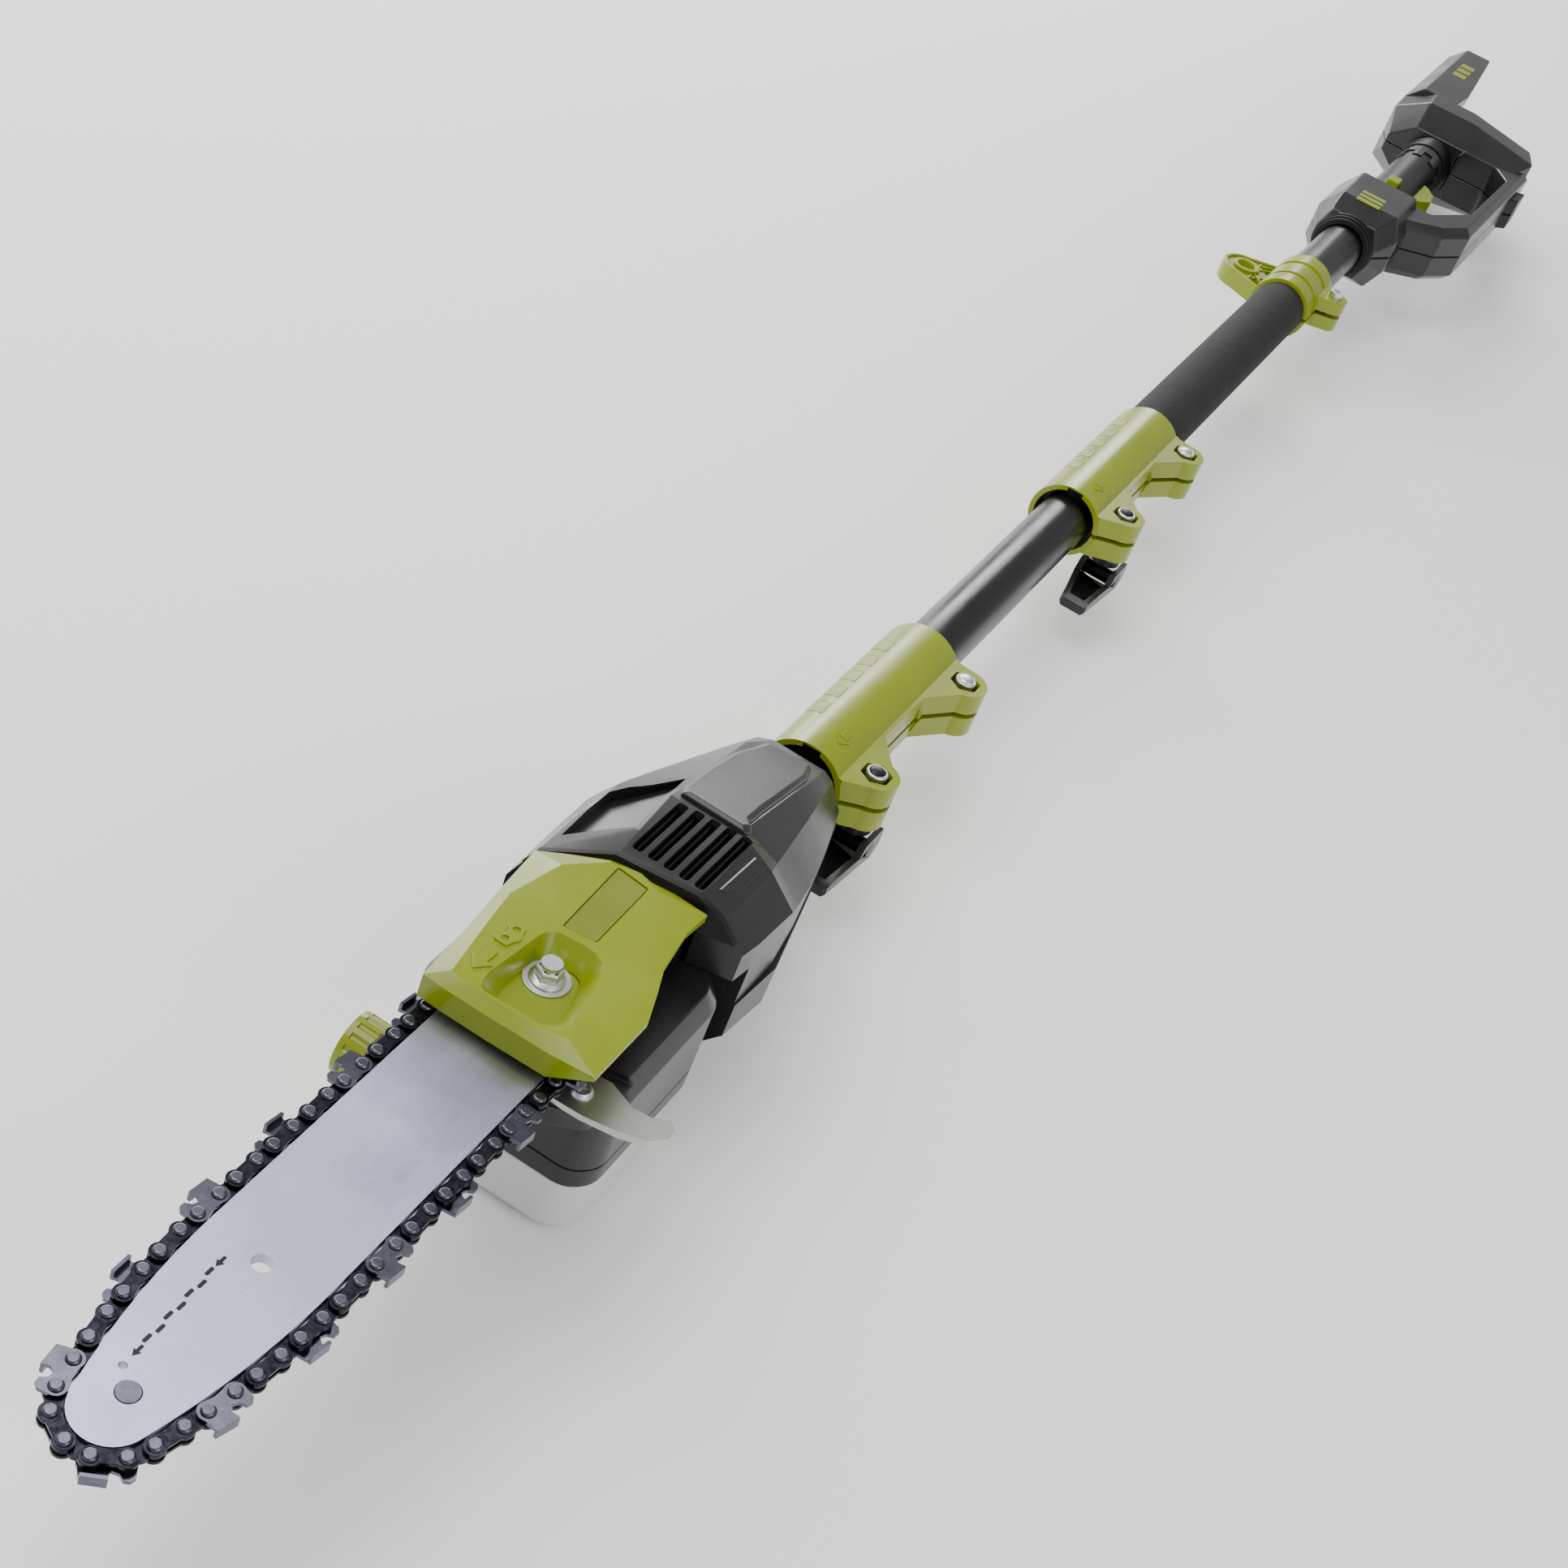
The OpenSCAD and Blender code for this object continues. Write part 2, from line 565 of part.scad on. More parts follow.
// Half sections across the motor housing, as [y, z] points, from front to rear.
function upper_section(y0, y1, low, top, in) = [[-y0 + in, 0], [-y0 + in, low - in / 2],
    [-y1 + in / 2, top - in], [y1 - 6 - in / 2, top - in], [y0 - 1 - in, low + 7 - in / 2], [y0 - 1 - in, 0]];
function lower_section(y0, y1, low, bottom, in) = [[-y0 + in, 0], [-y0 + in, -low + in / 2],
    [-y1 + in / 2, -bottom + in], [y1 - in / 2, -bottom + in], [y0 - 1 - in, -low + in / 2], [y0 - 1 - in, 0]];
top_z = cover_z - 2;
knee_x = 62;
waist_x = 115;
module motor_housing_left() {
    color("dimgray") head() difference() {
        union() {
            hull() {
                section(join_x - 10, upper_section(47, 33, 22, top_z, 0));
                section(knee_x, upper_section(49, 34, 24, top_z, 0));
            }
            hull() {
                section(knee_x, upper_section(49, 34, 24, top_z, 0));
                section(waist_x, upper_section(38, 25, 16, 37, 0));
            }
            hull() {
                section(waist_x, upper_section(38, 25, 16, 37, 0));
                section(tail_x, upper_section(26, 15, 12, 21, 0));
            }
        }
        hull() {
            section(join_x + 3, upper_section(47, 33, 22, top_z, 3));
            section(knee_x, upper_section(49, 34, 24, top_z, 3));
        }
        hull() {
            section(knee_x - eps, upper_section(49, 34, 24, top_z, 3));
            section(waist_x, upper_section(38, 25, 16, 37, 3));
        }
        block(join_x - 12, join_x, -60, 60, -1, housing_z + gap);
        translate([0, bar_y, bar_z - 6]) cylinder(r = 29, h = 11.5);
        along_x(join_x - 1, join_x + 8, 10);
        along_x(tail_x - 45, tail_x + 1, front_tube_r + fit);
        along_x(waist_x - 5, tail_x - 40, 9);
        for (i = [0 : 3])
            translate([30 + 2 * i, 2 - 9 * i, top_z - 4]) cube([36, 5, 6]);
    }
}
module motor_housing_right() {
    color("dimgray") head() difference() {
        union() {
            hull() {
                section(join_x, lower_section(47, 38, 17, 28, 0));
                section(knee_x, lower_section(49, 40, 19, 28.5, 0));
            }
            hull() {
                section(knee_x, lower_section(49, 40, 19, 28.5, 0));
                section(waist_x, lower_section(38, 28, 17.5, 27, 0));
            }
            hull() {
                section(waist_x, lower_section(38, 28, 17.5, 27, 0));
                section(tail_x, lower_section(26, 15, 16, 24, 0));
            }
        }
        hull() {
            section(join_x + 3, lower_section(47, 38, 17, 28, 3));
            section(knee_x, lower_section(49, 40, 19, 28.5, 3));
        }
        hull() {
            section(knee_x - 0.5, lower_section(49, 40, 19, 28.5, 3));
            section(waist_x, lower_section(38, 28, 17.5, 27, 3));
        }
        along_x(join_x - 1, join_x + 8, 10);
        along_x(tail_x - 45, tail_x + 1, front_tube_r + fit);
        along_x(waist_x - 5, tail_x - 40, 9);
        for (p = housing_screw_points)
            translate([p[0], p[1], -40]) cylinder(r = 2 + fit, h = 19);
    }
}
module housing_lip() {
    color("black") head() difference() {
        plate([[-4, 40], [16, 16], [20, 0], [16, -31], [20.7, -31], [20.7, 40]], bar_z + 4.5, cover_z - 1);
        translate([0, bar_y, bar_z - 6]) cylinder(r = 29, h = 11.5);
    }
}
housing_screw_points = [[60, -36], [60, 34], [118, -22], [118, 20]];
module housing_screws() {
    color("black") head() {
        for (p = housing_screw_points)
            translate([p[0], p[1], -29]) cylinder(r = 2, h = 7);
    }
}
hook_x = -70;
hook_y = -32;
module limb_hook() {
    color("gainsboro") head() difference() {
        union() {
            plate([[-80, -25], [-76, -21.5], [-64, -21.5], [-59, -30], [-58, -38], [-63, -50], [-62, -57],
                [-60, -59.5], [-58, -63], [-61, -66.5], [-67, -66.5], [-73, -62], [-77, -52], [-79.5, -38]],
                ledge_z, ledge_z + 2.8);
        }
        translate([hook_x, hook_y, 0]) cylinder(r = 2.3, h = 40);
    }
}
module hook_screw() {
    color("silver") head() translate([hook_x, hook_y, 0]) difference() {
        union() {
            translate([0, 0, 7]) cylinder(r = 2, h = ledge_z + 2.9 - 7);
            translate([0, 0, ledge_z + 2.85]) cylinder(r1 = 4.6, r2 = 3.4, h = 2);
        }
        for (a = [0, 90])
            rotate([0, 0, a]) translate([-2.4, -0.5, ledge_z + 3.6]) cube([4.8, 1, 3]);
    }
}

// ---- pole ----
module front_tube() {
    color("dimgray") pole()
        tube(head_x + tail_x - 44, front_rear_x, front_tube_r, front_tube_r - tube_wall);
}
module mid_tube() {
    color("dimgray") pole() tube(mid_front_x, mid_rear_x, mid_tube_r, mid_bore);
}
module outer_tube() {
    color("silver") pole() tube(outer_front_x, outer_rear_x, outer_tube_r, outer_bore);
}
module guide_bush(x, flange_r, spigot_r) {
    difference() {
        union() {
            along_x(x, x + bush_flange, flange_r);
            along_x(x - bush_spigot, x + eps, spigot_r);
        }
        along_x(x - bush_spigot - 1, x + bush_flange + 1, spigot_r - 2);
    }
}
module front_guide_bush() {
    color("black") pole() guide_bush(front_rear_x, mid_bore - run, front_tube_r - tube_wall - fit);
}
module mid_guide_bush() {
    color("black") pole() difference() {
        guide_bush(mid_rear_x, outer_bore - run, mid_bore - fit);
    }
}
module foam_grip() {
    color("black") pole()
        tube(rear_mouth_x + sleeve_len + fit, -band_half - fit, foam_r, outer_tube_r + fit);
}
module lug(points, x, y, r, z0, z1) {
    plate(points, z0, z1);
    translate([x, y, z0]) cylinder(r = r, h = z1 - z0);
}
// A clamp sleeve with its mouth at x = 0: the liner's bore in front, the tube's bore behind,
// and two lug pairs split by one slit.
module clamp_sleeve(tube_r) {
    difference() {
        union() {
            along_x(0, sleeve_len, sleeve_r);
            block(0, sleeve_len, -sleeve_r + 2, -7, -lug_half, lug_half);
            lug([[0, -6], [54, -6], [48, -15], [27.5, -30], [6.8, -30], [0, -18]],
                lug1_x, -lug_drop, lug_r, -lug_half, lug_half);
            lug([[74, -6], [sleeve_len, -6], [sleeve_len - 2.6, -30], [lug2_x - 10.6, -30], [82, -15]],
                lug2_x, -lug_drop, lug_r, -lug_half, lug_half);
        }
        along_x(-1, mouth_len, liner_r);
        along_x(mouth_len - 1, sleeve_len + 1, tube_r + fit);
        block(-1, sleeve_len + 1, -60, 0, -slit_half, slit_half);
        block(44, 84, -60, -18.5, -20, 20);
        for (x = [lug1_x, lug2_x])
            translate([x, -lug_drop, 0]) {
                translate([0, 0, -30]) cylinder(r = bolt_r + 0.1, h = 60);
                translate([0, 0, lug_half - 3.5]) cylinder(r = 7.6, h = 5, $fn = 6);
            }
        translate([lug2_x, -lug_drop, -lug_half - 1]) cylinder(r = 6.4, h = 4.5, $fn = 6);
        block(-1, 8, -4.5, 4.5, liner_r - 2, liner_r + 1.6);
    }
}
// The split liner that grips the sliding tube, with the key that stops it turning.
module clamp_liner(tube_r) {
    difference() {
        union() {
            along_x(10, mouth_len - 1, liner_r - fit);
            block(0.4, 10.5, -4.3, 4.3, tube_r - 1, liner_r - 0.8);
            block(0.4, 7.9, -4.3, 4.3, tube_r - 1, liner_r + 1.4);
        }
        along_x(-1, mouth_len + 1, tube_r + run);
        block(-1, mouth_len + 1, -60, 0, -slit_half, slit_half);
    }
}
// Lug bolts: the first runs on to the barrel that the lever turns on, the second to a nut.
module clamp_bolts() {
    for (x = [lug1_x, lug2_x])
        translate([x, -lug_drop, 0]) {
            translate([0, 0, lug_half - 3.4]) cylinder(r = 6.4, h = 1.2);
            translate([0, 0, lug_half - 2.2]) cylinder(r1 = 5.2, r2 = 4, h = 3.4);
        }
    translate([lug1_x, -lug_drop, pivot_z - 2]) cylinder(r = bolt_r, h = lug_half - pivot_z);
    translate([lug1_x, -lug_drop, pivot_z]) rotate([90, 0, 0]) cylinder(r = 4, h = 22, center = true);
    translate([lug2_x, -lug_drop, -lug_half - 1]) cylinder(r = bolt_r, h = 2 * lug_half - 1);
    translate([lug2_x, -lug_drop, -lug_half]) cylinder(r = 5.6, h = 3, $fn = 6);
}
module clamp_pad() {
    translate([lug1_x, -lug_drop, pivot_z + cam_r + gap]) difference() {
        cylinder(r = 8, h = -lug_half - fit - (pivot_z + cam_r + gap));
        translate([0, 0, -1]) cylinder(r = bolt_r + 0.1, h = 20);
    }
}
// The cam lever, closed: its arm lies along the pole and its open side faces the lug.
module clamp_lever() {
    arm = 34;
    heel = 12;
    translate([lug1_x, -lug_drop, pivot_z]) intersection() {
        difference() {
            union() {
                plate([[-12, -11], [heel, -11], [heel, 11], [-12, 11]], -10, 8);
                plate([[-arm, -6], [-12, -10], [-12, 10], [-arm, 6]], -10, 3);
            }
            block(-7.8, heel + 1, -8.4, 8.4, -7, 9);
            block(2, heel + 1, -8.4, 8.4, -11, 9);
            plate([[-arm + 3, -4], [-12, -7.4], [-7, -7.4], [-7, 7.4], [-12, 7.4], [-arm + 3, 4]], -7, 9);
            rotate([90, 0, 0]) cylinder(r = 4 + run, h = 40, center = true);
        }
        union() {
            rotate([90, 0, 0]) cylinder(r = 12.4, h = 30, center = true);
            block(-arm - 1, -4, -15, 15, -12, 3);
        }
    }
}
module at_front() { pole() translate([front_mouth_x, 0, 0]) children(); }
module at_rear() { pole() translate([rear_mouth_x, 0, 0]) children(); }
module front_clamp() { color("yellowgreen") at_front() clamp_sleeve(mid_tube_r); }
module front_clamp_liner() { color("black") at_front() clamp_liner(front_tube_r); }
module front_clamp_bolts() { color("silver") at_front() clamp_bolts(); }
module front_clamp_pad() { color("black") at_front() clamp_pad(); }
module front_clamp_lever() { color("dimgray") at_front() clamp_lever(); }
module rear_clamp() { color("yellowgreen") at_rear() clamp_sleeve(outer_tube_r); }
module rear_clamp_liner() { color("black") at_rear() clamp_liner(mid_tube_r); }
module rear_clamp_bolts() { color("silver") at_rear() clamp_bolts(); }
module rear_clamp_pad() { color("black") at_rear() clamp_pad(); }
module rear_clamp_lever() { color("dimgray") at_rear() clamp_lever(); }

band_half = 28;
hang_bolt_x = 8;
hang_drop = 26;
hang_half = 10.5;
eye_end_r = 16;
module hanger_clamp() {
    color("yellowgreen") pole() difference() {
        union() {
            along_x(-band_half, band_half, sleeve_r - 1.2);
            for (x = [[-band_half, -14], [-10, 8], [13, band_half]])
                along_x(x[0], x[1], sleeve_r);
            lug([[-8, -10], [24, -10], [hang_bolt_x + 8, -30], [hang_bolt_x - 8, -30]],
                hang_bolt_x, -hang_drop, 9, -hang_half, hang_half);
            translate([0, eye_rise, -eye_plate / 2]) cylinder(r = eye_end_r, h = eye_plate);
            plate([[-26, 12], [26, 12], [14.6, eye_rise + 6], [-14.6, eye_rise + 6]], -eye_plate / 2, eye_plate / 2);
            translate([0, eye_rise, -eye_plate / 2 - 1.5]) cylinder(r = eye_r + 3, h = eye_plate + 3);
        }
        along_x(-band_half - 1, band_half + 1, outer_tube_r + fit);
        block(-band_half - 1, band_half + 1, -60, 0, -slit_half, slit_half);
        translate([0, eye_rise, -20]) cylinder(r = eye_r, h = 40);
        translate([hang_bolt_x, -hang_drop, -30]) cylinder(r = 2.6, h = 60);
        for (side = [-1, 1])
            plate([[side * 4, 20.5], [side * 19, 20.5], [side * 13, 28], [side * 9, 25]],
                eye_plate / 2 - 2, eye_plate);
    }
}
module hanger_bolt() {
    color("silver") pole() translate([hang_bolt_x, -hang_drop, 0]) {
        translate([0, 0, -hang_half - 2]) cylinder(r = 2.5, h = 2 * hang_half + 2);
        translate([0, 0, hang_half + fit]) difference() {
            cylinder(r = 4.6, h = 4);
            translate([0, 0, 1.6]) cylinder(r = 2.4, h = 3, $fn = 6);
        }
        translate([0, 0, -hang_half - 4]) cylinder(r = 4.8, h = 4 - fit, $fn = 6);
    }
}

// ---- rear handle ----
function mirrored(points) = concat(points, [for (i = [len(points) - 1 : -1 : 0]) [points[i][0], -points[i][1]]]);
collar_front = [[-18, 21], [18, 21], [24, 0], [18, -21], [-18, -21], [-24, 0]];
collar_wide = [[-24, 28], [18, 28], [30, 12], [30, -12], [18, -28], [-24, -28], [-32, -12], [-32, 12]];
body_front = [[-loop_drop, 20], [32, 20], [38, 0], [32, -20], [-loop_drop, -20]];
body_mid = [[-loop_drop - 10, body_half - 8], [-18, body_half], [20, body_half], [dock_y, body_half - 14],
    [dock_y, -body_half + 14], [20, -body_half], [-18, -body_half], [-loop_drop - 10, -body_half + 8]];
body_rear = [[-loop_drop - 2, body_half - 8], [-12, body_half], [22, body_half], [dock_y, body_half - 12],
    [dock_y, -body_half + 12], [22, -body_half], [-12, -body_half], [-loop_drop - 2, -body_half + 8]];
loop_outline = [[collar_x + 34, -20], [collar_x + 42, -30], [collar_x + 58, -55], [collar_x + 84, -loop_drop - 8],
    [body_x + 24, -loop_drop - 12], [body_x + 24, -20]];
hand_outline = [[grip_x + 1, -10], [grip_x + 1, -38], [grip_x + 40, -loop_drop + 2], [body_x - 18, -loop_drop - 1],
    [body_x - 0.5, -loop_drop + 12], [body_x - 0.5, -10]];
module handle_solid() {
    hull() {
        section(collar_x, collar_front);
        section(collar_x + 18, collar_wide);
    }
    hull() {
        section(collar_x + 18, collar_wide);
        section(grip_x, collar_wide);
    }
    difference() {
        plate(loop_outline, -loop_half, loop_half);
        plate(hand_outline, -loop_half - 1, loop_half + 1);
    }
    hull() {
        section(body_x, body_front);
        section(body_x + 24, body_mid);
    }
    hull() {
        section(body_x + 24, body_mid);
        section(dock_x, body_rear);
    }
    plate([[dock_x - 1, 31], [dock_end - 8, 31], [dock_end - 3, dock_y], [dock_x - 1, dock_y]],
        -body_half + 8, body_half - 8);
    for (side = [-1, 1])
        plate([[dock_x - 1, 4], [dock_x + 30, 2], [dock_end, 12], [dock_end, 34], [dock_end - 6, dock_y - 4], [dock_x - 1, dock_y - 4]],
            side > 0 ? body_half - 8 : -body_half, side > 0 ? body_half : -body_half + 8);
    for (side = [-1, 1])
        plate([[dock_x - 1, 10], [dock_end - 26, 12], [dock_end - 26, 17], [dock_x - 1, 17]],
            side > 0 ? body_half - 13 : -body_half + 7, side > 0 ? body_half - 7 : -body_half + 13);
    plate([[body_x - 30, -loop_drop - 9], [body_x - 4, -loop_drop - 9], [body_x + 2, -loop_drop - 17],
        [body_x - 20, -loop_drop - 17]], -12, 12);
    along_x(grip_x - 2, body_x + 4, grip_r - 2);
}
module handle_hollows() {
    along_x(collar_x - 1, outer_rear_x + 1, outer_tube_r + fit);
    along_x(outer_rear_x, body_x + 20, grip_r - 5);
    block(body_x + 20, dock_x - 4, -40, 26, -body_half + 9, body_half - 9);
    block(dock_x - 6, dock_x + 1, 2, 26, -16, 16);
    block(trigger_x - 6, trigger_x + 46, -30, -6, -8.5, 8.5);
    block(button_x - 8.5, button_x + 8.5, -5, 5, 8, 30);
    translate([trigger_x, trigger_y, 0]) cylinder(r = 1.5 + fit, h = 19.2, center = true);
    for (p = handle_screw_points)
        translate([p[0], p[1], -60]) cylinder(r = 1.9, h = 120);
}
handle_screw_points = [[collar_x + 60, 22], [collar_x + 70, -40], [body_x + 14, -loop_drop - 2], [dock_x - 3, 35]];
module handle_left() {
    color("gray") pole() difference() {
        handle_solid();
        handle_hollows();
        block(0, 700, -150, 150, -100, fit / 2);
    }
}
module handle_right() {
    color("gray") pole() difference() {
        handle_solid();
        handle_hollows();
        block(0, 700, -150, 150, -fit / 2, 100);
    }
}
module handle_screws() {
    color("black") pole()
        for (p = handle_screw_points)
            translate([p[0], p[1], -18]) cylinder(r = 1.85, h = 26);
}
module collar_boot() {
    color("black") pole() difference() {
        union() {
            along_x(collar_x - 8, collar_x - fit, 19);
            for (i = [0 : 2])
                along_x(collar_x - 7.5 + 2.6 * i, collar_x - 5.9 + 2.6 * i, 21);
        }
        along_x(collar_x - 9, collar_x + 1, outer_tube_r + fit);
    }
}
module grip_sleeve() {
    color("black") pole() difference() {
        union() {
            along_x(grip_x + fit, body_x - 0.6, grip_r);
            along_x(body_x - 22, body_x - 0.6, grip_r + 2.2);
        }
        along_x(grip_x - 1, body_x + 1, grip_r - 2 + fit);
        block(trigger_x - 6, trigger_x + 46, -30, -6, -8.5, 8.5);
        block(button_x - 6.4, button_x + 6.4, -5, 5, 8, 30);
    }
}
module trigger() {
    color("yellowgreen") pole() translate([trigger_x, trigger_y, 0]) difference() {
        union() {
            plate([[-3, -3], [-2, 3], [38, 3], [42, -4], [38, -9], [28, -16], [14, -18], [6, -13]], -8, 8);
            cylinder(r = 4, h = 16, center = true);
        }
        cylinder(r = 1.5 + run, h = 40, center = true);
    }
}
module trigger_pin() {
    color("silver") pole() {
        translate([trigger_x, trigger_y, 0]) cylinder(r = 1.5, h = 19, center = true);
    }
}
module lock_button() {
    color("yellowgreen") pole() translate([button_x, 0, 0]) {
        plate([[-8, -4.5], [8, -4.5], [8, 4.5], [-8, 4.5]], grip_r - 4.7, grip_r - 3);
        plate([[-6, -4.5], [6, -4.5], [6, 4.5], [-6, 4.5]], grip_r - 3.1, grip_r + 4);
    }
}
module trigger_switch() {
    color("black") pole() {
        block(trigger_x + 8, trigger_x + 36, -3, 9, -7, 7);
        block(trigger_x + 20, trigger_x + 25, -4.4, -2.9, -3, 3);
    }
}
module battery_terminals() {
    color("black") pole() {
        block(dock_x - 5.9, dock_x + 4, 2.1, 25.9, -15.9, 15.9);
        for (z = [-10, 0, 10])
            block(dock_x + 3.9, dock_x + 18, 8, 18, z - 0.5, z + 0.5);
    }
}

guide_bar();
nose_sprocket();
nose_rivet();
chain_drive_links();
chain_tie_straps();
chain_cutters();
chain_rivets();
drive_sprocket();
sprocket_shaft();
sprocket_clip();
crown_gear();
motor_rotor();
motor_can();
shaft_bearings();
bar_stud();
bar_nut();
nut_washer();
sprocket_cover();
cover_panel();
gear_housing();
housing_base();
oil_tank();
oil_cap();
oil_pump();
motor_housing_left();
motor_housing_right();
housing_lip();
housing_screws();
limb_hook();
hook_screw();
bar_tensioner();
front_tube();
front_guide_bush();
front_clamp();
front_clamp_liner();
front_clamp_bolts();
front_clamp_pad();
front_clamp_lever();
mid_tube();
mid_guide_bush();
rear_clamp();
rear_clamp_liner();
rear_clamp_bolts();
rear_clamp_pad();
rear_clamp_lever();
outer_tube();
foam_grip();
hanger_clamp();
hanger_bolt();
handle_left();
handle_right();
collar_boot();
grip_sleeve();
trigger();
trigger_pin();
lock_button();
trigger_switch();
battery_terminals();
handle_screws();
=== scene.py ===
import json
import math
import bmesh
import bpy
from mathutils import Matrix, Vector


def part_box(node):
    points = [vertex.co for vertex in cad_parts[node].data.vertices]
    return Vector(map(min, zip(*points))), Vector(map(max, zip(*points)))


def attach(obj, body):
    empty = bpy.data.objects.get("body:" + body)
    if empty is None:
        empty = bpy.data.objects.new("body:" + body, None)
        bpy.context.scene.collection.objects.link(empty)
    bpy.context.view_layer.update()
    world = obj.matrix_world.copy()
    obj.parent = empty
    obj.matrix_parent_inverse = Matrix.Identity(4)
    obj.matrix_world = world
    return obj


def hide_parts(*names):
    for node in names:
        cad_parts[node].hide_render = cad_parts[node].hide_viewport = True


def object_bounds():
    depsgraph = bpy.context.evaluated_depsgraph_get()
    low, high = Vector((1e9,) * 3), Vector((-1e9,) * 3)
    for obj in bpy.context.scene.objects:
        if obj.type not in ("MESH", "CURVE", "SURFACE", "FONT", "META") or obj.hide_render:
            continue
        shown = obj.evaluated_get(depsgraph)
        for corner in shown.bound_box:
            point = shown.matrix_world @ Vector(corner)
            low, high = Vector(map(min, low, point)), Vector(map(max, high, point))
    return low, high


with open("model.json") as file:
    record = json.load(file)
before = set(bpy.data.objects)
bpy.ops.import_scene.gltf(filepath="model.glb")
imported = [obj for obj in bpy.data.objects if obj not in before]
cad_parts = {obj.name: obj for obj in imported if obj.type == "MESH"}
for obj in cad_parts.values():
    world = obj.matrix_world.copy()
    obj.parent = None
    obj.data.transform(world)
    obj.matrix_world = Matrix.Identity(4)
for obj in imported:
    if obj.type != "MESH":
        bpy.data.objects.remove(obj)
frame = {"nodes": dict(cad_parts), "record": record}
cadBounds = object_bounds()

mm = 0.001
nodes = frame["nodes"]
scene = bpy.context.scene

# ---- camera ----
camera = {
    "place": (-1.574, -0.2455, 0.642),
    "look": (0.7766, 0.1992, -0.5976),
    "up": (0.4406, 0.5062, 0.7414),
    "lens": 57.0,
}


def makeCamera():
    data = bpy.data.cameras.new("camera")
    data.lens = camera["lens"]
    data.sensor_width = 36
    data.clip_start = 0.01
    data.clip_end = 30
    back = -Vector(camera["look"]).normalized()
    side = Vector(camera["up"]).cross(back).normalized()
    up = back.cross(side)
    turn = Matrix((side, up, back)).transposed().to_4x4()
    obj = bpy.data.objects.new("camera", data)
    obj.matrix_world = Matrix.Translation(camera["place"]) @ turn
    scene.collection.objects.link(obj)
    scene.camera = obj


makeCamera()
print("stage: camera")


# ---- materials ----
def linear(c):
    return tuple((v / 255 / 12.92) if v <= 10 else ((v / 255 + 0.055) / 1.055) ** 2.4 for v in c) + (1,)


def newMaterial(name, colour, rough, metallic=0.0):
    mat = bpy.data.materials.new(name)
    mat.use_nodes = True
    shader = mat.node_tree.nodes["Principled BSDF"]
    shader.inputs["Base Color"].default_value = linear(colour)
    shader.inputs["Roughness"].default_value = rough
    shader.inputs["Metallic"].default_value = metallic
    return mat, mat.node_tree, shader


def coords(tree, scale=(1, 1, 1)):
    place = tree.nodes.new("ShaderNodeTexCoord")
    mapping = tree.nodes.new("ShaderNodeMapping")
    mapping.inputs["Scale"].default_value = scale
    tree.links.new(place.outputs["Object"], mapping.inputs["Vector"])
    return mapping.outputs["Vector"]


def noise(tree, vector, scale, detail=2.0, rough=0.5):
    tex = tree.nodes.new("ShaderNodeTexNoise")
    tex.inputs["Scale"].default_value = scale
    tex.inputs["Detail"].default_value = detail
    tex.inputs["Roughness"].default_value = rough
    tree.links.new(vector, tex.inputs["Vector"])
    return tex.outputs["Fac"]


def ramp(tree, value, low, high, a, b):
    node = tree.nodes.new("ShaderNodeMapRange")
    node.inputs["From Min"].default_value = low
    node.inputs["From Max"].default_value = high
    node.inputs["To Min"].default_value = a
    node.inputs["To Max"].default_value = b
    tree.links.new(value, node.inputs["Value"])
    return node.outputs["Result"]


def mixColours(tree, value, a, b):
    node = tree.nodes.new("ShaderNodeMix")
    node.data_type = "RGBA"
    node.inputs["A"].default_value = linear(a)
    node.inputs["B"].default_value = linear(b)
    tree.links.new(value, node.inputs["Factor"])
    return node.outputs["Result"]


def bump(tree, shader, value, depth, strength=1.0):
    node = tree.nodes.new("ShaderNodeBump")
    node.inputs["Strength"].default_value = strength
    node.inputs["Distance"].default_value = depth
    tree.links.new(value, node.inputs["Height"])
    tree.links.new(node.outputs["Normal"], shader.inputs["Normal"])


def mouldedPlastic(name, colour, rough, grain=1400, depth=0.000012, vary=6, shine=0.5):
    mat, tree, shader = newMaterial(name, colour, rough)
    shader.inputs["Specular IOR Level"].default_value = shine
    where = coords(tree)
    fine = noise(tree, where, grain, 3, 0.6)
    broad = noise(tree, where, 22, 3, 0.6)
    bump(tree, shader, fine, depth)
    lighter = tuple(min(255, v + vary * 0.5) for v in colour)
    darker = tuple(max(0, v - vary * 0.5) for v in colour)
    tree.links.new(mixColours(tree, ramp(tree, broad, 0.35, 0.65, 0, 1), darker, lighter),
                   shader.inputs["Base Color"])
    tree.links.new(ramp(tree, broad, 0.3, 0.7, rough - 0.05, rough + 0.05), shader.inputs["Roughness"])
    return mat


def metal(name, colour, rough, stretch=(1, 40, 40), scale=60, depth=0.00002, vary=16):
    mat, tree, shader = newMaterial(name, colour, rough, 1.0)
    where = coords(tree, stretch)
    lines = noise(tree, where, scale, 4, 0.7)
    broad = noise(tree, coords(tree), 30, 3, 0.6)
    darker = tuple(max(0, v - vary) for v in colour)
    tree.links.new(mixColours(tree, ramp(tree, lines, 0.3, 0.7, 0, 1), darker, colour),
                   shader.inputs["Base Color"])
    tree.links.new(ramp(tree, broad, 0.3, 0.7, rough - 0.06, rough + 0.08), shader.inputs["Roughness"])
    bump(tree, shader, lines, depth)
    return mat


def clearTank(name):
    mat, tree, shader = newMaterial(name, (244, 244, 242), 0.3)
    shader.inputs["Transmission Weight"].default_value = 0.4
    shader.inputs["IOR"].default_value = 1.45
    where = coords(tree)
    bump(tree, shader, noise(tree, where, 900, 2), 0.00004)
    return mat


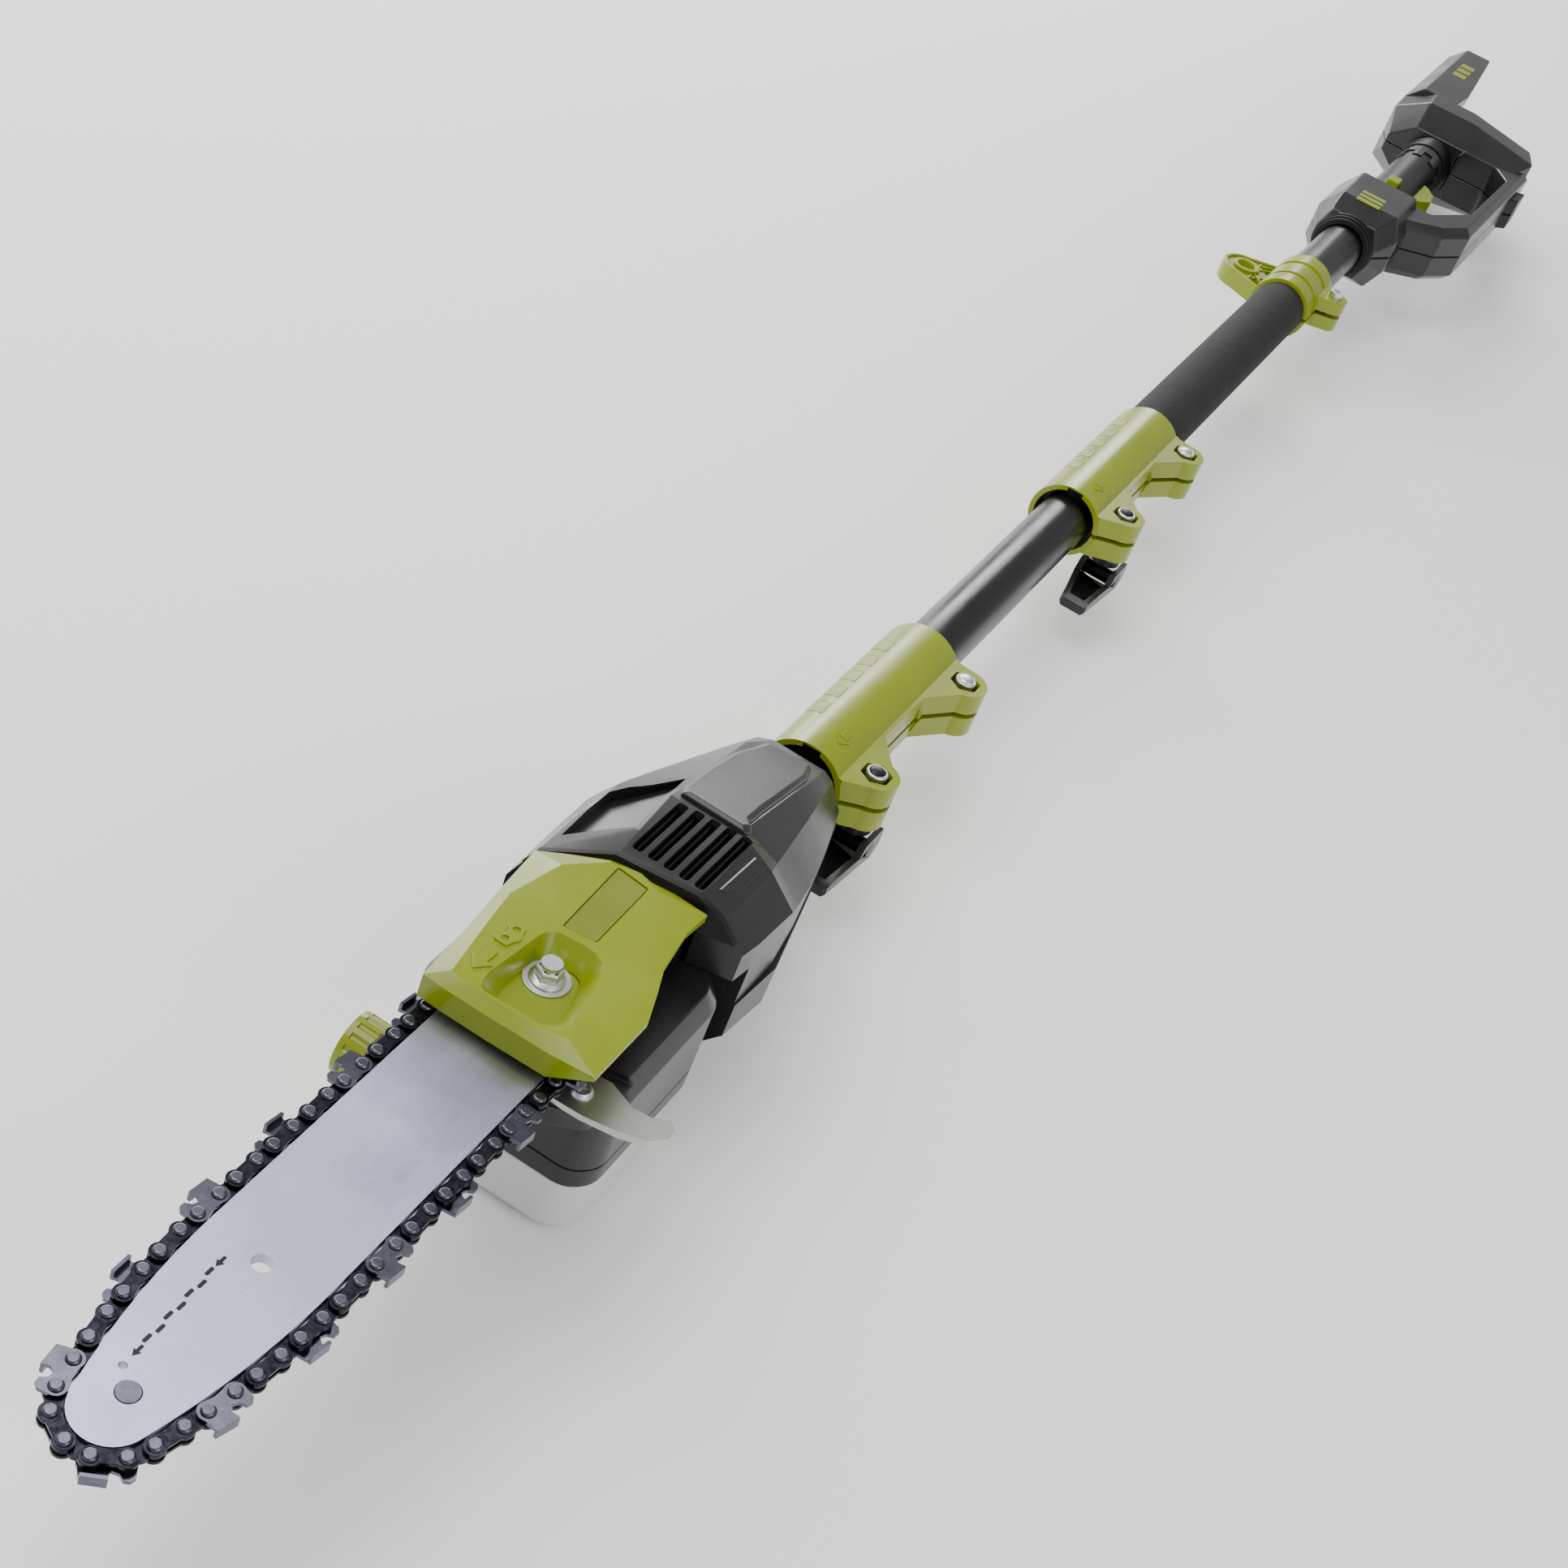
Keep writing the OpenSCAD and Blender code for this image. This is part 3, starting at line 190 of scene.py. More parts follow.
def foamSkin(name):
    mat, tree, shader = newMaterial(name, (20, 19, 18), 0.9)
    where = coords(tree)
    cells = tree.nodes.new("ShaderNodeTexVoronoi")
    cells.inputs["Scale"].default_value = 700
    tree.links.new(where, cells.inputs["Vector"])
    bump(tree, shader, cells.outputs["Distance"], 0.0003, 0.8)
    broad = noise(tree, where, 60, 3, 0.6)
    tree.links.new(mixColours(tree, ramp(tree, broad, 0.35, 0.65, 0, 1), (17, 16, 15), (25, 24, 23)),
                   shader.inputs["Base Color"])
    return mat


finishes = {
    "green_plastic": mouldedPlastic("leafGreenPlastic", (128, 142, 2), 0.26),
    "green_panel": mouldedPlastic("leafGreenPanel", (112, 124, 2), 0.3),
    "grey_plastic": mouldedPlastic("slateGreyPlastic", (31, 31, 32), 0.27, shine=0.45),
    "black_plastic": mouldedPlastic("blackPlastic", (10, 10, 10), 0.36, shine=0.32),
    "soft_rubber": mouldedPlastic("softGripRubber", (14, 14, 15), 0.55, 1500, 0.0001, shine=0.3),
    "ivory_plastic": mouldedPlastic("ivoryPlastic", (214, 208, 184), 0.5),
    "clear_plastic": clearTank("cloudyTank"),
    "foam": foamSkin("foamSkin"),
    "grey_tube": metal("tubeCoat", (66, 66, 67), 0.27, (1, 1, 1), 900, 0.00001, 6),
    "outer_alloy": metal("outerTubeCoat", (66, 66, 67), 0.27, (1, 1, 1), 900, 0.00001, 6),
    "bar_steel": metal("groundBarSteel", (186, 187, 209), 0.34, (1, 30, 30), 70, 0.00001, 14),
    "dark_steel": metal("hardenedSteel", (100, 101, 112), 0.22, (1, 1, 1), 300),
    "chain_steel": metal("bluedChainSteel", (58, 58, 67), 0.26, (1, 1, 1), 300, 0.00003, 40),
    "cutter_chrome": metal("cutterChrome", (104, 105, 117), 0.2, (1, 1, 1), 300, 0.00001, 20),
    "bright_steel": metal("zincSteel", (222, 223, 226), 0.3, (1, 1, 1), 300, 0.00001, 12),
    "satin_steel": metal("satinSheet", (196, 198, 190), 0.36, (1, 12, 12), 120, 0.00001, 10),
    "black_steel": metal("blackOxide", (40, 40, 42), 0.4, (1, 1, 1), 300, 0.00001, 8),
    "copper_core": metal("woundCore", (170, 110, 60), 0.4, (60, 1, 1), 60, 0.00004, 40),
}
nodeSlot = {part["node"]: part["material_slot"] for part in frame["record"]["subparts"]}
for name, obj in nodes.items():
    obj.data.materials.clear()
    obj.data.materials.append(finishes[nodeSlot[name]])
print("stage: materials")


# ---- tools for shaping ----
def deselectAll():
    if bpy.context.object and bpy.context.object.mode != "OBJECT":
        bpy.ops.object.mode_set(mode="OBJECT")
    bpy.ops.object.select_all(action="DESELECT")


def pick(obj):
    deselectAll()
    obj.select_set(True)
    bpy.context.view_layer.objects.active = obj


def applyModifiers(obj):
    pick(obj)
    for modifier in list(obj.modifiers):
        bpy.ops.object.modifier_apply(modifier=modifier.name)


def softEdges(obj, width, segments=2, angle=32):
    edge = obj.modifiers.new("edge", "BEVEL")
    edge.width = width
    edge.segments = segments
    edge.limit_method = "ANGLE"
    edge.angle_limit = math.radians(angle)
    edge.use_clamp_overlap = True
    applyModifiers(obj)
    pick(obj)
    bpy.ops.object.shade_smooth_by_angle(angle=math.radians(max(angle, 34)))
    flats = obj.modifiers.new("flats", "WEIGHTED_NORMAL")
    flats.mode = "FACE_AREA"
    flats.weight = 100
    flats.keep_sharp = True
    applyModifiers(obj)


def cleanCopy(name, node):
    # a CAD solid as a piece of its own, with doubled points and flat seams taken out
    piece = nodes[node].copy()
    piece.data = nodes[node].data.copy()
    piece.parent = None
    scene.collection.objects.link(piece)
    piece.name = name
    for key in list(piece.keys()):
        del piece[key]
    pick(piece)
    bpy.ops.object.mode_set(mode="EDIT")
    bpy.ops.mesh.select_all(action="SELECT")
    bpy.ops.mesh.remove_doubles(threshold=0.00001)
    bpy.ops.mesh.dissolve_limited(angle_limit=math.radians(0.5))
    bpy.ops.object.mode_set(mode="OBJECT")
    return piece


def stack(name, levels):
    # a solid through rings of points, each ring the same length, closed at both ends
    deselectAll()
    bpy.ops.mesh.primitive_circle_add(vertices=len(levels[0]), fill_type="NGON")
    obj = bpy.context.object
    obj.name = name
    for vertex, point in zip(obj.data.vertices, levels[0]):
        vertex.co = point
    bpy.ops.object.mode_set(mode="EDIT")
    bpy.ops.mesh.select_all(action="SELECT")
    below = [Vector(point) for point in levels[0]]
    for level in levels[1:]:
        bpy.ops.mesh.extrude_region_move()
        shape = bmesh.from_edit_mesh(obj.data)
        for vertex in [v for v in shape.verts if v.select]:
            nearest = min(range(len(below)), key=lambda k: (below[k] - vertex.co).length)
            vertex.co = level[nearest]
        bmesh.update_edit_mesh(obj.data)
        below = [Vector(point) for point in level]
    bpy.ops.mesh.select_all(action="SELECT")
    bpy.ops.mesh.normals_make_consistent(inside=False)
    bpy.ops.object.mode_set(mode="OBJECT")
    return obj


def carve(piece, cutter):
    cut = piece.modifiers.new("carve", "BOOLEAN")
    cut.operation = "DIFFERENCE"
    cut.object = cutter
    cut.solver = "EXACT"
    pick(piece)
    bpy.ops.object.modifier_apply(modifier="carve")
    bpy.data.objects.remove(cutter)


def finishPiece(piece, body, finish, replaced=(), edge=0.0, segments=2, angle=32):
    # edge is the width of the rounded edges in metres; folds sharper than angle get one
    if edge:
        softEdges(piece, edge, segments, angle)
    else:
        pick(piece)
        bpy.ops.object.shade_smooth_by_angle(angle=math.radians(angle))
    piece.data.materials.clear()
    piece.data.materials.append(finishes[finish])
    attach(piece, body)
    if replaced:
        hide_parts(*replaced)


def roundCorners(points, radius, steps=4):
    # the outline with each corner replaced by a short arc of that radius, or less where it is tight
    result = []
    count = len(points)
    for i in range(count):
        before, here, after = (Vector(points[(i + k) % count][:2]) for k in (-1, 0, 1))
        a, b = before - here, after - here
        reach = min(radius, a.length * 0.45, b.length * 0.45)
        start, end = here + a.normalized() * reach, here + b.normalized() * reach
        for k in range(steps + 1):
            t = k / steps
            result.append(start * (1 - t) ** 2 + here * 2 * t * (1 - t) + end * t ** 2)
    return result


def ring(points, height, at):
    return [at(point[0], point[1], height) for point in points]


def slab(name, points, low, high, at):
    return stack(name, [ring(points, low, at), ring(points, high, at)])


def drill(piece, points, low, high, at):
    carve(piece, slab("drill", points, low, high, at))


def circle(x, y, radius, count=24):
    return [(x + radius * math.cos(k * 2 * math.pi / count), y + radius * math.sin(k * 2 * math.pi / count))
            for k in range(count)]


def grow(points, centre, along, across):
    return [((x - centre[0]) * along + centre[0], (y - centre[1]) * across + centre[1]) for x, y in points]


def rectangle(x0, x1, y0, y1):
    return [(x0, y0), (x1, y0), (x1, y1), (x0, y1)]


# ---- where things are ----
shaftLow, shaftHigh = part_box("sprocket_shaft")
tubeLow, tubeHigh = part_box("outer_tube")
headX = (shaftLow.x + shaftHigh.x) / 2
poleY = (tubeLow.y + tubeHigh.y) / 2
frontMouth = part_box("front_clamp")[0].x
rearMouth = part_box("rear_clamp")[0].x


def atHead(x, y, z):
    return Vector((headX + x * mm, poleY + y * mm, z * mm))


def atPole(x, y, z):
    return Vector((x * mm, poleY + y * mm, z * mm))


# ---- floor and light ----
studio = {
    # name, place, width and height, power of each light; all look at the same spot
    "lights": (
        ("topLight", (-0.9, 0.6, 1.7), (1.8, 1.4), 30),
        ("leftLight", (0.2, 1.7, 0.34), (2.0, 0.6), 30),
        ("sideLight", (-1.4, -1.5, 1.0), (1.4, 1.0), 12),
        ("rearLight", (1.5, 1.05, 0.95), (1.5, 0.5), 32),
    ),
    "aim": (-0.6, 0, 0), "surround": 0.55, "floorSize": 14, "floorGap": 0.001,
}


def makeStage():
    floorZ = cadBounds[0][2] - studio["floorGap"]
    bpy.ops.mesh.primitive_plane_add(size=studio["floorSize"], location=(0, 0, floorZ))
    floor = bpy.context.object
    floor.name = "floor"
    floor.data.materials.append(newMaterial("paleFloor", (252, 252, 251), 0.8)[0])
    world = bpy.data.worlds.new("studio")
    world.use_nodes = True
    world.node_tree.nodes["Background"].inputs["Color"].default_value = (1, 1, 1, 1)
    world.node_tree.nodes["Background"].inputs["Strength"].default_value = studio["surround"]
    scene.world = world
    for name, place, size, power in studio["lights"]:
        data = bpy.data.lights.new(name, "AREA")
        data.shape = "RECTANGLE"
        data.size, data.size_y = size
        data.energy = power
        obj = bpy.data.objects.new(name, data)
        obj.location = place
        aim = Vector(studio["aim"]) - Vector(place)
        obj.rotation_euler = aim.to_track_quat("-Z", "Y").to_euler()
        scene.collection.objects.link(obj)


# ---- chain cover ----
cover = {
    # outline of the skirt: place along the pole, across it, and the height of its lower edge
    "skirt": [(-91.5, 29.5, 38), (-60, 31.6, 39), (-37, 34, 40), (-8, 36.6, 40), (10.4, 14, 41), (13.2, 0, 41),
              (12, -28.4, 45), (-3, -27.8, 46), (-25, -31, 46), (-39, -36, 46.4), (-53, -40.6, 46.6),
              (-89, -40.6, 46.6), (-91, -24, 38), (-91.6, 0, 37.8), (-91.8, 20, 38)],
    "edgeUp": [48.5, 48.8, 49, 48.6, 48.4, 48.4, 48.6, 48.8, 48.8, 48.8, 48.8, 48.6, 48.4, 48.2, 48.2],
    "crest": [(-86, 22), (-60, 26), (-38, 29), (-10.5, 24), (5, 11.5), (8, 1), (4.5, -9.5), (-6, -11),
              (-24, -13.4), (-44, -16.5), (-56, -19.5), (-84, -25), (-86.5, -15), (-87, 0), (-87.4, 14)],
    "crestZ": 52,
    "pocketTop": [(-86.2, 10.5), (-79, 12.5), (-46.5, 9.4), (-42, 6.5), (-40, -8), (-44, -15.6), (-60, -19.6),
                  (-79, -22.4), (-84.5, -19)],
    "pocketFloor": [(-77, 6), (-73, 7.6), (-53, 7), (-48, 3.6), (-47, -6.5), (-49.5, -10.6), (-60, -13),
                    (-71, -14.6), (-75, -12)],
    "floorZ": 42.4,
    "panel": [(-38, 6.4), (5, 8.2), (3.4, -6.4), (-36, -7.4)],
    "arrow": [(-80, 17.4), (-74, 21.6), (-74, 19), (-67, 18.6), (-67, 15), (-74, 15.4), (-74, 12.8)],
    "link": [(-62.4, 14.8), (-62.4, 20.4), (-60, 21.6), (-57.6, 18.8), (-54.8, 18.6), (-52.4, 21), (-50, 20),
             (-49.8, 14.2), (-53, 13.8), (-56, 12.4), (-59.4, 14.2)],
    "linkHoles": ((-59.4, 17.4), (-52.8, 16.6)), "linkHoleRadius": 1.5,
    "signZ": (-1.2, 0.7), "panelZ": (-1.0, -0.35), "pocketMiddle": (-63, -5),
    "sprocket": (0, -1), "sprocketRoom": 14, "sprocketRoomZ": (30, 41.4),
    "nut": (-56, -1), "nutHole": 4.3, "nutBore": 4.15, "washerBore": 4.2, "washer": (9.1, 42.75, 43.5),
    "hexagon": 5.6, "hexagonZ": (44.6, 48.6, 49.4), "flange": ((7.0, 43.6), (6.8, 44.2), (5.2, 45.4)),
}


def makeCoverShell():
    skirt, crestZ = cover["skirt"], cover["crestZ"]
    shell = stack("chainCover", [
        [atHead(x, y, z) for x, y, z in skirt],
        [atHead(x, y, z) for (x, y, _), z in zip(skirt, cover["edgeUp"])],
        ring(cover["crest"], crestZ, atHead)])
    top = roundCorners(cover["pocketTop"], 5, 5)
    bottom = roundCorners(cover["pocketFloor"], 4, 5)
    wide = grow(top, cover["pocketMiddle"], 1.22, 1.22)
    carve(shell, stack("pocket", [ring(bottom, cover["floorZ"], atHead), ring(top, crestZ, atHead),
                                  ring(wide, crestZ + 3, atHead)]))
    drill(shell, roundCorners(cover["panel"], 1.2), crestZ - 1.0, crestZ + 3, atHead)
    drill(shell, circle(*cover["sprocket"], cover["sprocketRoom"], 32), *cover["sprocketRoomZ"], atHead)
    drill(shell, circle(*cover["nut"], cover["nutHole"]), 30, 60, atHead)
    finishPiece(shell, "saw_head", "green_plastic", ["sprocket_cover"], 0.0011, 3, 14)
    web = grow(top, cover["pocketMiddle"], 1.14, 1.1)
    floor = slab("pocketBed", web, 41.0, cover["floorZ"] + 0.3, atHead)
    drill(floor, circle(*cover["nut"], cover["nutHole"]), 30, 60, atHead)
    finishPiece(floor, "saw_head", "green_plastic", (), 0.0002, 1)


def makeCoverSigns():
    crestZ = cover["crestZ"]
    inner = [(x * 0.975 - 0.4, y * 0.93 + 0.05) for x, y in cover["panel"]]
    low, high = cover["panelZ"]
    plate = slab("coverPanel", roundCorners(inner, 1.2), crestZ + low, crestZ + high, atHead)
    finishPiece(plate, "saw_head", "green_panel", ["cover_panel"], 0.0002)
    low, high = cover["signZ"]
    arrow = slab("coverArrow", cover["arrow"], crestZ + low, crestZ + high, atHead)
    finishPiece(arrow, "saw_head", "green_plastic", (), 0.00015, 1)
    link = slab("coverLinkSign", roundCorners(cover["link"], 0.8, 2), crestZ + low, crestZ + high, atHead)
    for hole in cover["linkHoles"]:
        drill(link, circle(*hole, cover["linkHoleRadius"], 16), 40, 60, atHead)
    finishPiece(link, "saw_head", "green_plastic", (), 0.00015, 1)


def makeBarNut():
    x, y = cover["nut"]
    radius, low, high = cover["washer"]
    washer = slab("nutFlange", circle(x, y, radius, 48), low, high, atHead)
    drill(washer, circle(x, y, cover["washerBore"]), 40, 50, atHead)
    finishPiece(washer, "saw_head", "bright_steel", ["nut_washer"], 0.0002, 2)
    size = cover["hexagon"]
    hexagon = [(x + size * math.cos(k * math.pi / 3), y + size * math.sin(k * math.pi / 3)) for k in range(6)]
    low, shoulder, high = cover["hexagonZ"]
    nut = stack("barNutHex", [ring(hexagon, low, atHead), ring(hexagon, shoulder, atHead),
                              ring(grow(hexagon, cover["nut"], 0.86, 0.86), high, atHead)])
    drill(nut, circle(x, y, cover["nutBore"]), 40, 60, atHead)
    finishPiece(nut, "bar_nut", "bright_steel", ["bar_nut"], 0.00025, 2)
    flange = stack("barNutFlange", [ring(circle(x, y, r, 48), z, atHead) for r, z in cover["flange"]])
    drill(flange, circle(x, y, cover["nutBore"]), 40, 60, atHead)
    finishPiece(flange, "bar_nut", "bright_steel", (), 0.0002, 2)


makeCoverShell()
makeCoverSigns()
makeBarNut()
print("stage: chain cover")

# ---- motor housing ----
motor = {
    # station along the pole, then the strap side's width, edge height and shoulder, the plateau between
    # its two edges with its height, and the other side's shoulder and width
    "stations": [
        (20.9, 46.4, 26, 37, 46, 13, 50, -21, -33, 46, 45), (31, 47.4, 26, 38, 44, 14, 50.2, -22, -34, 45.4, 46.4),
        (60, 48.2, 25, 38, 40, 16, 49.6, -20.5, -33, 43, 47), (71, 47, 24, 36.5, 38, 16.5, 45.6, -14, -31, 39, 45.4),
        (86, 44.6, 22, 34, 35, 17, 42.4, -14, -29, 36.4, 43.2), (115, 38.2, 18, 29, 29, 18, 36, -14, -25, 30.4, 37.2),
        (140, 31.2, 14.5, 24.6, 24, 18.4, 29.6, -14, -21, 25, 30.8),
        (162.8, 25.6, 11, 21, 18, 14, 20.9, -12, -17, 18, 24.8)],
    "frontX": [-3, -3, -3.6, 13.4, 18, 17.8, 19, 19.4],
    "vents": 5, "ventX": 21, "ventY": 9.2, "ventStep": -7.0, "ventLong": 37, "ventWide": 4.6, "ventLean": 1.4,
    "ventZ": (42.5, 46.4, 54), "bladeHalf": 0.6, "bladeLean": 1.2, "bladeZ": (42.4, 46.8),
    "bearing": (0, -1, 29, 40), "bearingZ": (10, 38.4),
    "spine": [(65, 14), (72, 16.2), (96, 16.8), (122, 16.6), (150, 13), (152, -9), (138, -12.6), (112, -13),
              (90, -13), (76, -13.4), (68, -17.4), (64, -16)],
    # steps of the spine and the side panel: how far drawn in, how far above the shell
    "spineSteps": ((0, -1.5), (0, 1.2), (2.2, 2.4)), "panelSteps": ((0, -1.2), (0, 0.5), (1.0, 1.0)),
    # side panel on the slope right of the vents: place, height and the way its edge is drawn in
    "sidePanel": [(27, -24.6, 48.6, 1, -1), (56, -25.4, 47.6, -1, -1), (60, -30.6, 44, -1, 1), (32, -30.4, 46.4, 1, 1)],
    "pocket": [(11, 34.6), (52, 36.2), (82, 20.4), (58, 18.6), (33, 17)],
    "pocketFloorZ": [42.4, 36.6, 38.4, 44.6, 46.2],
}


def motorRing(station, z0):
    x, up, low, shoulder, shoulderZ, left, top, right, far, farZ, down = station
    return [(x, up, z0), (x, up, low), (x, shoulder, shoulderZ), (x, left, top), (x, right, top), (x, far, farZ),
            (x, -down, farZ - 12), (x, -down, z0)]


def topOfShell(x):
    spots = [(station[0], station[6]) for station in motor["stations"]]
    for (x0, z0), (x1, z1) in zip(spots, spots[1:]):
        if x <= x1:
            return z0 + (z1 - z0) * (x - x0) / (x1 - x0)
    return spots[-1][1]


def makeMotorShell():
    rings = [motorRing(station, 20.4) for station in motor["stations"][:2]]
    rings += [motorRing(station, 0.03) for station in motor["stations"][1:]]
    rings[0] = [(front, y, z) for front, (x, y, z) in zip(motor["frontX"], rings[0])]
    shell = stack("motorShellLeft", [[atHead(*point) for point in level] for level in rings])
    drill(shell, circle(*motor["bearing"]), *motor["bearingZ"], atHead)
    roof = [atHead((x - 45) * 1.06 + 45, (y - 26) * 1.25 + 26, z + 9)
            for (x, y), z in zip(motor["pocket"], motor["pocketFloorZ"])]
    seat = [atHead(x, y, z) for (x, y), z in zip(motor["pocket"], motor["pocketFloorZ"])]
    carve(shell, stack("shoulderPocket", [seat, roof]))
    for i in range(motor["vents"]):
        x0, y, w = motor["ventX"], motor["ventY"] + motor["ventStep"] * i, motor["ventWide"] / 2
        x1 = x0 + motor["ventLong"] + motor["ventLean"] * i
        slot = roundCorners(rectangle(x0, x1, y - w, y + w), 2.2, 4)
        long = [(x + (2.5 if x > (x0 + x1) / 2 else -1), y1) for x, y1 in slot]
        carve(shell, stack("slot", [ring(points, z, atHead) for points, z in zip((slot, slot, long), motor["ventZ"])]))
    finishPiece(shell, "saw_head", "grey_plastic", ["motor_housing_left"], 0.0011, 3, 12)


def makeMotorTrim():
    for i in range(motor["vents"]):
        y = motor["ventY"] + motor["ventStep"] * i
        x0, x1 = motor["ventX"] + 1, motor["ventX"] + motor["ventLong"] + motor["ventLean"] * i - 1
        fin = rectangle(x0, x1, y - motor["bladeHalf"], y + motor["bladeHalf"])
        leaning = [(x, y1 + motor["bladeLean"]) for x, y1 in fin]
        low, high = motor["bladeZ"]
        blade = stack("ventBlade%d" % (i + 1), [ring(fin, low, atHead), ring(leaning, high, atHead)])
        finishPiece(blade, "saw_head", "black_plastic", (), 0.0002, 1)
    spine = motor["spine"]
    levels = []
    for inset, lift in motor["spineSteps"]:
        levels.append([atHead(x + (inset if x < 70 else 0), y - math.copysign(inset, y), topOfShell(x) + lift)
                       for x, y in spine])
    finishPiece(stack("motorSpine", levels), "saw_head", "grey_plastic", (), 0.0007, 3, 12)
    panel = motor["sidePanel"]
    levels = []
    for inset, lift in motor["panelSteps"]:
        levels.append([atHead(x + inset * dx, y + inset * dy, z + lift) for x, y, z, dx, dy in panel])
    finishPiece(stack("motorSidePanel", levels), "saw_head", "grey_plastic", (), 0.0004, 2, 12)


def makeSeal():
    # the thin dark seal between cover and housing
    rim = [[front, y, z] for front, (x, y, z) in zip(motor["frontX"], motorRing(motor["stations"][0], 37.6))]
    rim[0][1], rim[1][1], rim[1][2] = 40.6, 41.2, 38.4
    rim[6][1], rim[6][2], rim[7][1] = -41.2, 38.4, -40.6
    for k in range(2, 6):
        rim[k][2] += 0.9
    seal = stack("housingSeal", [[atHead(x + shift, y, z) for x, y, z in rim] for shift in (-2.3, 0.6)])
    drill(seal, circle(*motor["bearing"]), *motor["bearingZ"], atHead)
    finishPiece(seal, "saw_head", "black_plastic", ["housing_lip"], 0.0004, 2)


makeMotorShell()
makeMotorTrim()
makeSeal()
print("stage: motor housing")

# ---- gear housing, its base and the oil tank ----
gearCase = {
    "outline": [(-69, -38), (-60, -46), (12, -46), (30.5, -31), (30.5, 36), (16, 46), (-54, 46), (-69, 34)],
    "crown": [(-65, -35), (-57, -41), (10, -41), (26, -28.6), (26, 33), (13, 41), (-52, 41), (-65, 31)],
    "boss": [(-86, -14), (-80, -30), (-74, -40), (-60, -43), (-60, 12), (-84, 12)],
    "ledge": [(-95, -60), (-95, -18), (-62, -18), (-54, -27), (-48, -60)],
    "hump": [(14, -44), (31, -36), (31, -13), (2, -13), (2, -44)],
    "caseZ": (-19.8, 12, 20), "baseZ": (-29, -20.2), "bossZ": (8, 16.7), "ledgeZ": (16.8, 30),
    "shaft": (0, -1, 9), "shaftZ": (5, 30), "seat": (-84, -38, -15, 13), "seatZ": (16, 30.8),
    "humpZ": (-36.8, -28.4), "grooves": 5, "grooveX": 6, "grooveStep": 5, "grooveWide": 2,
}
tank = {
    "outline": [(-69, -36), (-60, -45), (4, -45), (6, 40), (-54, 45), (-69, 32)],
    "foot": [(-64, -33), (-57, -41), (1, -41), (3, 36), (-52, 41), (-65, 29)],
    "bottomZ": -57, "edgeZ": -52, "topZ": -29.2, "roomZ": (-54.6, -31.4), "middle": (-31, 0),
    "neckRadius": 9, "neckSides": 32, "neckY": (2, 9),
}


def makeGearCase():
    outer, inner = roundCorners(gearCase["outline"], 6), roundCorners(gearCase["crown"], 5)
    low, shoulder, high = gearCase["caseZ"]
    case = stack("gearCase", [ring(outer, low, atHead), ring(outer, shoulder, atHead), ring(inner, high, atHead)])
    drill(case, gearCase["ledge"], *gearCase["ledgeZ"], atHead)
    drill(case, circle(*gearCase["shaft"]), *gearCase["shaftZ"], atHead)
    finishPiece(case, "saw_head", "grey_plastic", ["gear_housing"], 0.0007, 2, 20)
    boss = slab("barSeatArm", roundCorners(gearCase["boss"], 3), *gearCase["bossZ"], atHead)
    finishPiece(boss, "saw_head", "grey_plastic", (), 0.0006, 2)
    block = slab("barSeat", roundCorners(rectangle(*gearCase["seat"]), 2), *gearCase["seatZ"], atHead)
    finishPiece(block, "saw_head", "grey_plastic", (), 0.0005, 2)
    base = slab("gearCaseBase", outer, *gearCase["baseZ"], atHead)
    finishPiece(base, "saw_head", "grey_plastic", ["housing_base"], 0.0004, 2, 20)
    hump = slab("baseHump", gearCase["hump"], *gearCase["humpZ"], atHead)
    for i in range(gearCase["grooves"]):
        x = gearCase["grooveX"] + gearCase["grooveStep"] * i
        drill(hump, rectangle(x, x + gearCase["grooveWide"], -50, -30), -40, -27, atHead)
    finishPiece(hump, "saw_head", "black_plastic", (), 0.0005, 2)


def makeTank():
    outer, foot = roundCorners(tank["outline"], 10, 6), roundCorners(tank["foot"], 9, 6)
    shell = stack("oilTankShell", [ring(foot, tank["bottomZ"], atHead), ring(outer, tank["edgeZ"], atHead),
                                   ring(outer, tank["topZ"], atHead)])
    drill(shell, grow(outer, tank["middle"], 0.93, 0.945), *tank["roomZ"], atHead)
    capLow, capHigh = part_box("oil_cap")
    cx, cz = (capLow.x + capHigh.x) / 2, (capLow.z + capHigh.z) / 2
    sides, radius = tank["neckSides"], tank["neckRadius"] * mm
    turns = [k * 2 * math.pi / sides for k in range(sides)]
    neck = stack("tankNeck", [[Vector((cx + radius * math.cos(a), capLow.y + y * mm, cz + radius * math.sin(a)))
                               for a in turns] for y in tank["neckY"]])
    finishPiece(neck, "saw_head", "clear_plastic", (), 0.0003, 2)
    finishPiece(shell, "saw_head", "clear_plastic", ["oil_tank"], 0.0012, 3, 16)


makeGearCase()
makeTank()
print("stage: gear housing and tank")

# ---- clamps ----
clamp = {
    "lugX": (17, 115), "drop": -27,
    "domeRoom": 3.9, "ringSteps": ((5.1, 10.4), (5.1, 13.0), (4.6, 13.6)),
    "domeSteps": ((3.8, 13.2), (3.8, 13.5), (3.3, 14.0), (2.4, 14.3), (1.2, 14.45)),
    "arrow": [(12, -7), (17.5, -3.2), (17.5, -5.4), (23, -5.4), (23, -8.6), (17.5, -8.6), (17.5, -10.8)],
    "pads": 5, "padX": 30, "padStep": 17, "padLong": 11,
    "sleeveRadius": 20.0, "arrowRadius": (19.3, 20.5), "padRadius": (19.2, 20.3),
}


def onSleeve(mouth, x, angle, radius):
    return Vector((mouth + x * mm, poleY + radius * math.sin(angle) * mm, radius * math.cos(angle) * mm))


